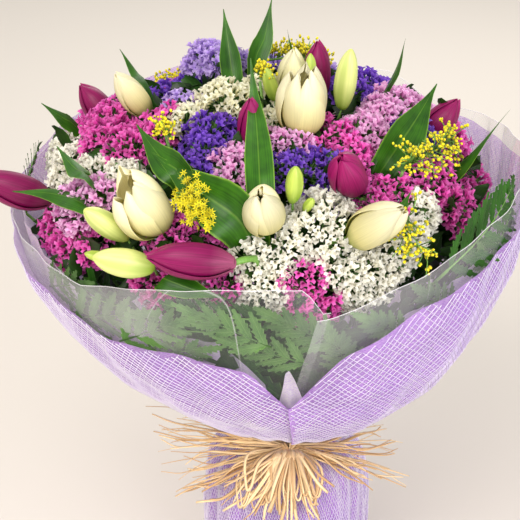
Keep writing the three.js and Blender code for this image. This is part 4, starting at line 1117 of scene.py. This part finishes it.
def makeStatices():
    total = 0
    for row, (name, _) in enumerate(statices):
        rand = random.Random(11 + row)
        colour = colourOf(name)
        heap = Heap()
        crests = [c for c in allCrests if c["flower"] == name]
        relief = staticePlan["relief"][colour]
        overLeaves = name in staticePlan["overLeaves"]
        pitch = staticePlan["pitch"] * staticePlan["closer"].get(colour, 1)
        for crest in crests:
            axes = axesAlong(crest["out"])
            mean = (crest["radius"] * 2 + crest["deep"]) / 3
            ball = 4 * math.pi * mean * mean / 0.866
            tufts = evenly(max(int(ball / staticePlan["tuft"] ** 2), 7), rand, 0.5)
            half = mean * math.sqrt(4 / len(tufts)) * 0.95
            kinds = [[] for _ in floretShapes]
            for spot in evenly(int(ball / pitch ** 2), rand, 0.25):
                if spot.z < staticePlan["lowest"]:
                    break
                tuft = max(tufts, key=spot.dot)
                off = mean * math.acos(min(spot.dot(tuft), 1)) / half
                sunk = relief * min(off * off, 1.4)
                local = Vector((crest["radius"] * spot.x, crest["radius"] * spot.y, crest["deep"] * spot.z))
                normal = Vector((local.x / crest["radius"] ** 2, local.y / crest["radius"] ** 2,
                                 local.z / crest["deep"] ** 2)).normalized()
                deeper = normal * (sunk - 0.35 * relief)
                p = crest["centre"] + axes @ (local * rand.uniform(0.97, 1.05) - deeper)
                if crowded(p, crest) or insideBloom(p) or (not overLeaves and onLeaf(p)):
                    continue
                spread = (spot - tuft).normalized() * 0.5 * min(off, 1) if off > 0.05 else Vector((0, 0, 0))
                aim = axes @ (normal + spread) + jitter(rand, 0.16)
                size = rand.uniform(0.85, 1.15) * (0.92 if off > 1 else 1)
                place = placeCopy(p - aim.normalized() * 3.0, aim, (size,) * 3, (anyTurn(rand), "Z"))
                kind = 3 if rand.random() < staticePlan["tight"] else rand.randrange(3)
                # a floret's tint darkens with its distance from its tuft's middle, painted shade in the gaps,
                # plus a random tone
                kinds[kind].append((place, 0.75 - 0.4 * min(off, 1.2) + rand.uniform(-0.22, 0.22)))
            for shape, members in zip(floretShapes, kinds):
                for place, tint in members:
                    copyInto(heap, shape, place, tint)
                total += len(members)
        buildPiece("florets_" + name, heap, [calyxSkins[colour]], ["statice_" + name],
                   rounded=False)

        greens = Heap()
        addBranches(greens, name, staticePlaces[name], [c["centre"] for c in crests], 2.1, 1.3)
        for crest in crests:  # branchlets under the florets, with small bracts
            axes = axesAlong(crest["out"])
            for i in range(staticePlan["branchlets"]):
                turn, flat = anyTurn(rand), math.sqrt(rand.random())
                high = math.sqrt(max(1 - flat * flat, 0))
                wide = crest["radius"] * flat
                local = Vector((wide * math.cos(turn), wide * math.sin(turn), crest["deep"] * high)) * 0.84
                p = crest["centre"] + axes @ local
                base = crest["centre"] - crest["out"] * crest["deep"] * 0.6
                addTube(greens, [base, base.lerp(p, 0.5) + axes @ Vector((0, 0, 1)), p], [0.7, 0.6, 0.5], 3)
                size = rand.uniform(5, 8)
                turns = (anyTurn(rand), "Z"), (-0.5, "X")
                place = placeCopy(base.lerp(p, 0.75), p - base, (size,) * 3, *turns)
                copyInto(greens, bractShape, place, rand.random())
        buildPiece("sprigs_" + name, greens, [wingSkin], ["statice_" + name])
    print("statice florets:", total)


makeStatices()


# Goldenrod: open stars low on the left, an airy panicle on the right, tight beads elsewhere

goldPlan = {
    "stars": {"every": 1.3, "reach": (7, 17), "each": 5, "spread": 2.3, "size": (1.0, 1.4)},
    "beads": {"every": 2.0, "reach": (6, 13), "each": 7, "spread": 1.9, "size": (1.0, 1.5)},
    "airy": {"every": 1.4, "reach": (8, 25), "each": 4, "spread": 1.5, "size": (1.1, 1.6),
             "lean": Vector((-0.75, -0.45, -0.35))},
}
goldKinds = {
    ("goldenrod_front_left", 0): "stars", ("goldenrod_right", 0): "airy", ("goldenrod_right", 1): "airy",
}


def makeGoldenrods():
    for row, flower in enumerate(goldenrods):
        rand = random.Random(91 + row)
        heap = Heap()
        ends = [onDome(*plume[0]) - outward(*plume[0][:2]) * 6 for plume in flower["plumes"]]
        addBranches(heap, flower["name"], goldPlaces[flower["name"]], ends, 1.9, 1.2, 1)
        for n, plume in enumerate(flower["plumes"]):
            kind = goldKinds.get((flower["name"], n), "beads")
            facts = goldPlan[kind]
            steps = 10
            path = curveThrough([onDome(*p) for p in plume], steps)
            addTube(heap, [p - outward(*plume[0][:2]) * 3 for p in path], [1.1] * (steps + 1), 5, 1)
            length = sum((path[i + 1] - path[i]).length for i in range(steps))
            twigs = int(length / facts["every"]) + 10
            for k in range(twigs):
                t = k / (twigs - 1)
                i = int(t * steps)
                base = path[min(i, steps - 1)].lerp(path[min(i + 1, steps)], t * steps % 1)
                out = (base - domeHeart).normalized()
                lively = jitter(rand, 0.75)
                lively -= out * min(lively.dot(out) + 0.5, 0)
                aim = (out * 0.9 + lively + facts.get("lean", Vector((0, 0, 0)))).normalized()
                tip = base + aim * rand.uniform(*facts["reach"])
                addTube(heap, [base - out * 3, base.lerp(tip, 0.5) + out, tip], [0.5, 0.45, 0.35], 3, 1)
                for j in range(facts["each"]):
                    spot = tip.lerp(base, rand.uniform(0, 0.4 if kind == "airy" else 0.65))
                    spot += jitter(rand, facts["spread"])
                    facing = (aim + out * 0.6 + jitter(rand, 0.4)).normalized()
                    place = placeCopy(spot, facing, (rand.uniform(*facts["size"]),) * 3)
                    copyInto(heap, starShape if kind == "stars" else beadShape, place, rand.uniform(0.35, 1))
        buildPiece(flower["name"] + "_plumes", heap, [goldSkin, greenSkin], [flower["name"]])


makeGoldenrods()
print("goldenrod made")


# Ferns: a rib with pairs of toothed leaflets, each one cut nearly to its own rib

# shares of a frond's length or width: its arch, its leaflets' reach and half width, and the one at its end
fernPlan = {"pairs": 9, "teeth": 6, "steps": 24, "rib": (0.9, 0.3), "arch": 0.06, "reach": 1.3, "half": 0.38,
            "forward": 0.95, "inward": 0.12, "end": (0.14, 0.1)}


# A toothed leaflet from its base, with one direction along it and one across
def addLeaflet(heap, base, run, over, long, half, tint, slot=0, droop=0.18):
    up = run.cross(over).normalized()
    teeth = fernPlan["teeth"]
    points, coords = [], []
    for i in range(teeth * 2 + 1):
        t = i / (teeth * 2)
        wide = half * math.sin(math.pi * lerp(0.18, 0.97, t)) * (1.0 if i % 2 else 0.6)
        ahead = 0.07 if i % 2 else 0
        rise = -droop * long * t * t
        for u in (-1, 0, 1):
            p = base + run * (long * min(t + ahead * abs(u), 1.02)) + over * (u * wide)
            points.append(tuple(p + up * (rise + (0.16 * wide if u else 0))))
            coords.append(((u + 1) / 2, t))
    heap.add(points, gridFaces(teeth * 2, 2), coords, slot, tint)


def makeFerns():
    for row, (name, fronds) in enumerate(ferns):
        rand = random.Random(51 + row)
        heap = Heap()
        addBranches(heap, name, fernPlaces[name], [onDome(*f[0]) for f in fronds], 1.6, 1.2, 1)
        for start, tip, width in fronds:
            a, b = onDome(*start), onDome(*tip)
            out = outward(start[0], start[1])
            long = (b - a).length
            bow = long * fernPlan["arch"]
            arch = [a.lerp(b, t) + out * (bow * math.sin(math.pi * t)) for t in (0, 0.25, 0.5, 0.75, 1)]
            steps, pairs = fernPlan["steps"], fernPlan["pairs"]
            path = curveThrough(arch, steps)
            addTube(heap, path, [lerp(*fernPlan["rib"], i / steps) for i in range(steps + 1)], 4, 1)
            for i in range(pairs):
                t = (i + 0.6) / (pairs + 0.3)
                k = int(t * steps)
                run = (path[min(k + 1, steps)] - path[k]).normalized()
                over = out.cross(run).normalized()
                reach = width / 2 * math.sin(math.pi * lerp(0.3, 0.94, t)) * fernPlan["reach"]
                for hand in (-1, 1):
                    towards = over * hand + run * fernPlan["forward"] - out * fernPlan["inward"]
                    towards.normalize()
                    across = towards.cross(out).normalized()
                    addLeaflet(heap, path[k], towards, across, reach * rand.uniform(0.92, 1.05),
                               long / pairs * fernPlan["half"], rand.random())
            endLong, endHalf = long * fernPlan["end"][0], width * fernPlan["end"][1]
            addLeaflet(heap, path[-3], (path[-1] - path[-3]).normalized(), over, endLong, endHalf, 0.5)
        buildPiece(name + "_frond", heap, [fernSkin, greenSkin], [name])


makeFerns()
print("ferns made")


# Filling green between the heads, so that no gap shows the empty inside

fillPlan = {"leaves": 1500, "lifts": (-46, -9), "long": (12, 26), "goldenAngle": 137.508}


def makeFilling():
    rand = random.Random(5)
    heap = Heap()
    for i in range(fillPlan["leaves"]):
        tilt = math.degrees(math.acos(lerp(1, -0.25, (i + 0.5) / fillPlan["leaves"])))
        side = i * fillPlan["goldenAngle"] % 360
        lift = rand.uniform(*fillPlan["lifts"])
        p = onDome(side, tilt, lift)
        out = outward(side, tilt)
        aim = (out * 0.8 + jitter(rand, 0.6)).normalized()
        size = rand.uniform(*fillPlan["long"])
        turns = (-math.pi / 2, "X"), (anyTurn(rand), "Y")
        place = placeCopy(p - aim * size * 0.5, aim, (size,) * 3, *turns, up=out)
        copyInto(heap, bractShape, place, rand.random())
    buildPiece("filling_green", heap, [fillSkin], ())


makeFilling()


# How far out the film and net stand, against height above the tie
profile = [(-150, 68), (-65, 68), (-50, 67), (-33, 64), (-20, 58), (-11, 47), (-5, 34.5), (5, 34.5), (12, 50),
           (19, 69), (40, 101), (75, 140), (115, 170), (165, 195), (215, 206), (260, 212)]
wrapShift = dome["x"] * 0.8  # how far they lean over to the dome's middle, at their top


# Leaves under the heads, and fronds pressed against the inside of the film

underPlan = {"leaves": 190, "levels": (62, 170), "sides": (-118, 118), "clear": (17, 38), "long": (38, 74),
             "short": 0.65, "lean": 0.75, "half": (0.14, 0.26), "dark": 0.45}
# fronds are bearing, height above the tie, lean, length and half width
frondPlan = {"laidAt": 11.5, "pairs": 4, "scale": (1.15, 1.1), "fronds": [
    (-50, 182, -1.15, 62, 10), (-36, 172, -1.2, 80, 12), (-24, 172, -1.05, 70, 12), (-11, 182, 1.15, 64, 13),
    (5, 182, 1.0, 58, 13), (-46, 160, -1.25, 56, 8), (24, 176, 1.0, 46, 10), (-20, 152, -1.2, 60, 11),
    (38, 186, 0.9, 52, 10), (56, 196, 0.7, 54, 11), (-3, 160, 1.2, 60, 12), (15, 160, 0.4, 50, 11)]}


# A place so deep inside the wrap, with the ways up along it and square out of it
def wrapFrame(side, level, deep):
    s = math.radians(side)
    out = Vector((math.sin(s), -math.cos(s), 0))
    slope = (along(profile, level + 12) - along(profile, level - 8)) / 20
    rise = (Vector((0, 0, 1)) + out * slope).normalized()
    normal = (out - rise * out.dot(rise)).normalized()
    middle = Vector((wrapShift * smooth(level, 10, 200), 0, tieHeight + level))
    return middle + out * (along(profile, level) - deep), rise, normal


def leanOver(rise, normal, lean):
    return rise * math.cos(lean) + normal.cross(rise) * math.sin(lean)


# A leaf flat against the wrap from a spot on it, leaning from upright by some radians
def layLeaf(heap, spot, rise, normal, lean, long, half, tint, slot):
    run = leanOver(rise, normal, lean).normalized()
    addLeaflet(heap, spot, run, normal.cross(run).normalized(), long, half, tint, slot, 0.06)


# A frond laid the same way: a leaflet at its end and pairs down both sides
def layFrond(heap, side, level, lean, long, half, tint):
    base, rise, normal = wrapFrame(side, level, frondPlan["laidAt"])
    run = leanOver(rise, normal, lean).normalized()
    start = base - run * long * 0.55
    addTube(heap, [start, start + run * long * 0.75], [0.8, 0.4], 4, 2)
    for k in range(frondPlan["pairs"]):
        spot = start + run * long * (0.06 + 0.16 * k)
        for hand in (-1, 1):
            spread = hand * (0.8 - 0.08 * k)
            layLeaf(heap, spot, rise, normal, lean + spread, long * (0.4 - 0.04 * k), half * 0.36,
                    tint - 0.06 * k, 2)
    layLeaf(heap, start + run * long * 0.64, rise, normal, lean, long * 0.4, half * 0.42, tint, 2)


def makeUnderGreen():
    rand = random.Random(8)
    heap = Heap()
    for i in range(underPlan["leaves"]):
        level = lerp(*underPlan["levels"], math.sqrt(rand.random()))
        side = rand.uniform(*underPlan["sides"])
        deep = rand.uniform(*underPlan["clear"])
        lean = rand.gauss(0, underPlan["lean"])
        long = rand.uniform(*underPlan["long"]) * (underPlan["short"] if level < 100 else 1)
        half = long * rand.uniform(*underPlan["half"])
        base, rise, normal = wrapFrame(side, level, deep)
        start = base - leanOver(rise, normal, lean) * long * 0.55
        layLeaf(heap, start, rise, normal, lean, long, half, rand.random(),
                0 if rand.random() < underPlan["dark"] else 1)
    longer, wider = frondPlan["scale"]
    for i, (side, level, lean, long, half) in enumerate(frondPlan["fronds"]):
        layFrond(heap, side, level, lean, long * longer, half * wider, 0.5 + 0.12 * (i % 4))
    buildPiece("under_green", heap, [fernSkin, fillSkin, paleFernSkin], ())


makeUnderGreen()
print("filling green made")


# The wrap: a film sleeve inside a net, both laid round the bunch and gathered at the tie. A rim is a line of
# bearings and heights above the tie; bearings past 360 lap over the start of the sheet

netPlan = {
    "sides": (2, 384), "low": -150, "high": 252, "steps": (190, 60), "inset": 0, "lap": 3.4, "slant": 0,
    "crease": 0, "waves": 1.4, "seed": 0.6,
    "pitch": 3.3, "thick": 0.32, "threadStep": 8, "angles": (64, -58), "outsets": (0.35, 0.8),
    "rim": [(2, 100), (15, 160), (33, 190), (45, 198), (66, 212), (90, 216), (120, 220), (142, 224),
            (160, 238), (193, 248), (232, 222), (275, 192), (306, 170), (322, 152), (341, 153), (355, 143),
            (362, 100), (384, 95)],
}
filmPlan = {
    "sides": (10.5, 373), "low": -4.5, "steps": (220, 48), "inset": 6, "lap": 1.2, "slant": 15, "crease": 0,
    "waves": 1.4, "seed": 2.1, "edge": 0.32,
    "rim": [(13, 190), (28, 209), (34, 216), (65, 240), (105, 236), (137, 230), (149, 246), (162, 246),
            (200, 240), (260, 206), (317, 193), (340, 210), (354, 215), (367, 217), (371, 195)],
}
# the net's ends are folded in and lie behind the film to the left and right of the front
foldPlan = {"low": 30, "steps": (70, 24), "lap": 0, "slant": 0, "waves": 2.2, "seed": 3.7}
foldEnds = {
    "pleat": {"sides": (356, 371), "inset": 3.5, "crease": 1.6, "rim": [
        (356, 70), (358, 88), (360, 104), (361.5, 124), (362.6, 140), (363.6, 143), (364.6, 134), (366, 114),
        (368, 96), (371, 76)]},
    "left": {"sides": (262, 357), "inset": 14, "crease": 0.8, "rim": [
        (262, 212), (275, 206), (300, 194), (315, 184), (322, 172), (328, 178), (337, 164), (348, 162),
        (357, 120)]},
    "right": {"sides": (17, 88), "inset": 14, "crease": 0.8, "rim": [
        (17, 120), (23, 150), (29, 176), (38, 182), (48, 190), (64, 206), (78, 190), (88, 120)]},
}
clothRadius = 118  # where the flat cloth's width is measured
waist = 36.5  # the widest that the cloth may be where the raffia holds it

fineLevels = np.linspace(-150, 260, 830)
# the profile's corners are rounded over about 12 mm, as cloth does
blur = np.ones(25) / 25
radiusCurve = np.convolve(np.pad(np.interp(fineLevels, *zip(*profile)), 12, mode="edge"), blur, "valid")
atTie = np.abs(fineLevels) < 9
radiusCurve[atTie] = np.minimum(radiusCurve[atTie], waist)
clothRun = np.concatenate([[0], np.cumsum(np.hypot(np.diff(fineLevels), np.diff(radiusCurve)))])
clothRun -= np.interp(0, fineLevels, clothRun)


# Points of a sheet from its bearings and heights above the tie
def sheetPoints(plan, sides, levels, outset=0.0):
    first, last = plan["sides"]  # its two ends may run down to the left where they lap in front
    near = np.clip(1 - (sides - first) / 60, 0, 1) + np.clip(1 - (last - sides) / 60, 0, 1)
    sides = sides - plan["slant"] * near * (1 - np.clip(levels / 200, 0, 1))
    turn = np.radians(sides)
    loose = np.clip((np.abs(levels) - 8) / 52, 0, 1) ** 1.5
    wave = loose * (plan["waves"] * np.sin(np.radians(sides * 4))
                    + 1.3 * np.sin(turn * 13 + levels * 0.02 + plan["seed"])
                    + 0.9 * np.sin(turn * 29 + plan["seed"] * 2 - levels * 0.03))
    pleat = np.exp(-((np.abs(levels) - 22) / 20) ** 2) * 1.6 * np.sin(turn * 24 + plan["seed"])
    lapped = plan["lap"] * (1 - np.clip((sides - 30) / 32, 0, 1))
    inset = plan["inset"] * np.clip(levels / 12 + 0.5, 0.5, 1)
    crease = plan["crease"] * np.sin(sides * 1.3 + levels * 0.07)
    reach = np.interp(levels, fineLevels, radiusCurve) - inset + lapped + wave + pleat + crease + outset
    t = np.clip((levels - 10) / 190, 0, 1)
    drift = wrapShift * t ** 2 * (3 - 2 * t)
    return np.stack([drift + reach * np.sin(turn), -reach * np.cos(turn), tieHeight + levels], -1)


# One sheet as a grid, from its lowest height up to its rim
def addSheet(heap, plan):
    across, up = plan["steps"]
    grid = np.linspace(*plan["sides"], across + 1)
    tops = np.interp(grid, *zip(*plan["rim"]))
    bottom, top = np.interp(plan["low"], fineLevels, clothRun), np.interp(tops, fineLevels, clothRun)
    runs = bottom + (top - bottom) * np.linspace(0, 1, up + 1)[:, None]
    levels = np.interp(runs, clothRun, fineLevels)
    sides = np.broadcast_to(grid, levels.shape)
    points = sheetPoints(plan, sides, levels)
    coords = np.stack([np.radians(sides) * clothRadius * mm, runs * mm], -1)
    heap.add(points, gridFaces(up, across), coords, 0, 0.5, np.clip(np.abs(levels) / 150, 0, 1).ravel())
    return points


def unit(rows):
    return rows / (np.linalg.norm(rows, axis=-1, keepdims=True) + 1e-9)


# Threads at one angle over the whole net, each a three-sided run that is cut at the net's edges
def addThreads(heap, angle, outset, rand):
    pitch, step = netPlan["pitch"], netPlan["threadStep"]
    run = np.array([math.cos(math.radians(angle)), math.sin(math.radians(angle))])
    across = np.array([-run[1], run[0]])
    width = np.radians(netPlan["sides"]) * clothRadius
    bottom, top = np.interp([netPlan["low"], netPlan["high"]], fineLevels, clothRun)
    corners = np.array([(a, b) for a in width for b in (bottom, top)])
    lanes, lengths = corners @ across, corners @ run
    ks = np.arange(math.floor(lanes.min() / pitch), math.ceil(lanes.max() / pitch) + 1)[:, None]
    ts = np.arange(lengths.min(), lengths.max() + step, step)
    wander = rand.normal(0, pitch * 0.1, len(ks))[:, None] + pitch * 0.22 * np.sin(ts * 0.045 + ks * 0.11)
    flat = (ks * pitch + wander)[..., None] * across + ts[:, None] * run

    def laid(flat):
        levels = np.interp(flat[..., 1], clothRun, fineLevels)
        return sheetPoints(netPlan, np.degrees(flat[..., 0] / clothRadius), levels, outset)

    bearing = np.degrees(flat[..., 0] / clothRadius)
    first, last = netPlan["sides"]
    held = (bearing >= first) & (bearing <= last) & (flat[..., 1] >= bottom) & (flat[..., 1] <= top)
    held &= np.interp(flat[..., 1], clothRun, fineLevels) <= np.interp(bearing, *zip(*netPlan["rim"]))
    centre = laid(flat)
    ahead = laid(flat + run * 0.5) - centre
    normal = unit(np.cross(ahead, laid(flat + across * 0.5) - centre))
    side = unit(np.cross(normal, ahead))
    joined = held[:, :-1] & held[:, 1:]
    used = np.zeros_like(held)
    used[:, :-1] |= joined
    used[:, 1:] |= joined
    order = np.cumsum(used.ravel()).reshape(used.shape) - 1
    ring = [centre[used] + netPlan["thick"] * (normal[used] * math.sin(q) + side[used] * math.cos(q))
            for q in (math.pi / 2, math.pi * 7 / 6, math.pi * 11 / 6)]
    start, end = order[:, :-1][joined] * 3, order[:, 1:][joined] * 3
    faces = [np.stack([start + k, start + j, end + j, end + k], 1) for k, j in ((0, 1), (1, 2), (2, 0))]
    tints = np.broadcast_to(rand.uniform(0.2, 0.8, len(ks))[:, None], used.shape)[used]
    heap.add(np.stack(ring, 1), np.concatenate(faces), None, 0, np.repeat(tints, 3))


def makeWraps():
    rand = np.random.default_rng(3)
    heap = Heap()
    addSheet(heap, netPlan)
    cloth = buildPiece("net_cloth", heap, [veil], ["net_wrap"])
    for letter, angle, outset in zip("ab", netPlan["angles"], netPlan["outsets"]):
        heap = Heap()
        addThreads(heap, angle, outset, rand)
        buildPiece("net_threads_" + letter, heap, [paleThread], ["net_wrap"])

    for end, facts in foldEnds.items():
        heap = Heap()
        addSheet(heap, {**foldPlan, **facts})
        # the paler net colour here is painted light
        buildPiece("net_fold_" + end, heap, [paintedLightNet], ())

    heap, edgeHeap = Heap(), Heap()
    rows = addSheet(heap, filmPlan)
    film = buildPiece("film_sheet", heap, [cellophane], ["film_sleeve"])
    # a pale tube along the film's rim: painted highlight
    addTube(edgeHeap, list(rows[-1]), [filmPlan["edge"]] * len(rows[-1]), 5)
    edge = buildPiece("film_edge", edgeHeap, [rimSkin], ["film_sleeve"])


# Raffia: many strands round the tie, a knot, loose ends to both sides and loops that hang in front

raffiaPlan = {
    "knot": (2, -45, 150), "bandRadius": 41.7, "turns": 16, "strands": 90, "hanging": 34, "loops": 16,
    "knotTurns": 12, "wide": (0.8, 2.3), "flatness": 0.25,
    "ends": [(-116, -34, 158), (-96, -30, 166), (-102, -44, 137), (-97, -52, 118), (-70, -64, 119),
             (90, -20, 160), (92, -42, 148), (97, -52, 125), (72, -62, 136)],
    "loopEnds": [(-33, 119), (-12, 121), (6, 118), (21, 122)],
}


def addStrand(heap, path, radii, rand, flat=raffiaPlan["flatness"], sides=4):
    addTube(heap, path, radii, sides, 0, rand.random(), flat)


def makeRaffia():
    rand = random.Random(21)
    heap = Heap()
    knot = Vector(raffiaPlan["knot"])
    for i in range(raffiaPlan["turns"]):  # turns of the band
        reach = raffiaPlan["bandRadius"] + rand.uniform(-1.6, 1.6)
        level = tieHeight + rand.uniform(-4, 4)
        turns = [math.radians(10 * k) for k in range(37)]
        route = [(reach * math.sin(turn), -reach * math.cos(turn), level + 1.5 * math.sin(turn * 2 + i))
                 for turn in turns]
        addStrand(heap, route, [rand.uniform(0.8, 1.6)] * len(route), rand, 0.4)
    for n in range(raffiaPlan["strands"]):  # loose ends, in bundles to both sides
        tip = Vector(raffiaPlan["ends"][n % len(raffiaPlan["ends"])])
        tip += Vector((rand.gauss(0, 6), rand.gauss(0, 5), rand.gauss(0, 7)))
        tip.x *= rand.uniform(0.7, 1.03)
        outwards = math.copysign(rand.uniform(0, 5), tip.x)
        start = knot + Vector((outwards, rand.uniform(-3, 1), rand.uniform(-3, 3)))
        crown = start.lerp(tip, rand.uniform(0.3, 0.5))
        crown += Vector((0, -rand.uniform(4, 12), rand.uniform(2, 9)))
        bend = start.lerp(tip, rand.uniform(0.65, 0.85)) + jitter(rand, 3.5)
        radii = taper(rand.uniform(*raffiaPlan["wide"]), 0.5, 15)
        addStrand(heap, curveThrough([start, crown, bend, tip], 15), radii, rand)
    for n in range(raffiaPlan["hanging"]):  # ends that fan down over the skirt
        spread = rand.uniform(-1, 1)
        x = spread * 46 + rand.gauss(0, 4) - 2
        tip = Vector((x, -88 + 12 * abs(spread), 104 + rand.uniform(-12, 16) + 14 * abs(spread)))
        start, crown = knot + Vector((spread * 5, -2, -1)), knot + Vector((spread * 14, -22, 3))
        bend = knot.lerp(tip, 0.6) + Vector((rand.gauss(0, 3), -14, rand.gauss(4, 3)))
        radii = taper(rand.uniform(*raffiaPlan["wide"]), 0.55, 15)
        addStrand(heap, curveThrough([start, crown, bend, tip], 15), radii, rand)
    for n in range(raffiaPlan["loops"]):
        x, z = raffiaPlan["loopEnds"][n % len(raffiaPlan["loopEnds"])]
        x += rand.gauss(0, 6)
        z += rand.uniform(-6, 16)
        wide = rand.uniform(3, 8)
        down = [knot + Vector((x * 0.1 - 1, -2, -1)), (x * 0.9 - wide, -68, z + 22), (x - 2, -82, z)]
        back = [(x + 2, -82, z), (x * 0.8 + wide, -72, z + 18), knot + Vector((x * 0.1 + 1, -2, 1))]
        addStrand(heap, curveThrough(down + back, 28), [rand.uniform(0.6, 1.3)] * 29, rand)
    for i in range(raffiaPlan["knotTurns"]):  # the knot itself
        turn = rand.uniform(0, 3.14)
        x, z = 9 * math.cos(turn), 6 * math.sin(turn)
        path = [knot + Vector((x, -3, z)), knot + Vector((0, -7, 0)), knot + Vector((-x, -3, -z))]
        addStrand(heap, curveThrough(path, 8), [1.7] * 9, rand, 0.5, 5)
    buildPiece("raffia_tie_strands", heap, [raffia], ["raffia_tie"])


makeRaffia()
makeWraps()
print("wrap and raffia made")

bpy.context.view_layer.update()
triangles = {o.name: sum(len(f.vertices) - 2 for f in o.data.polygons) for o in bpy.data.objects
             if o.type == "MESH" and not o.hide_render}
print("triangles", sum(triangles.values()), sorted(triangles.items(), key=lambda t: -t[1])[:8])
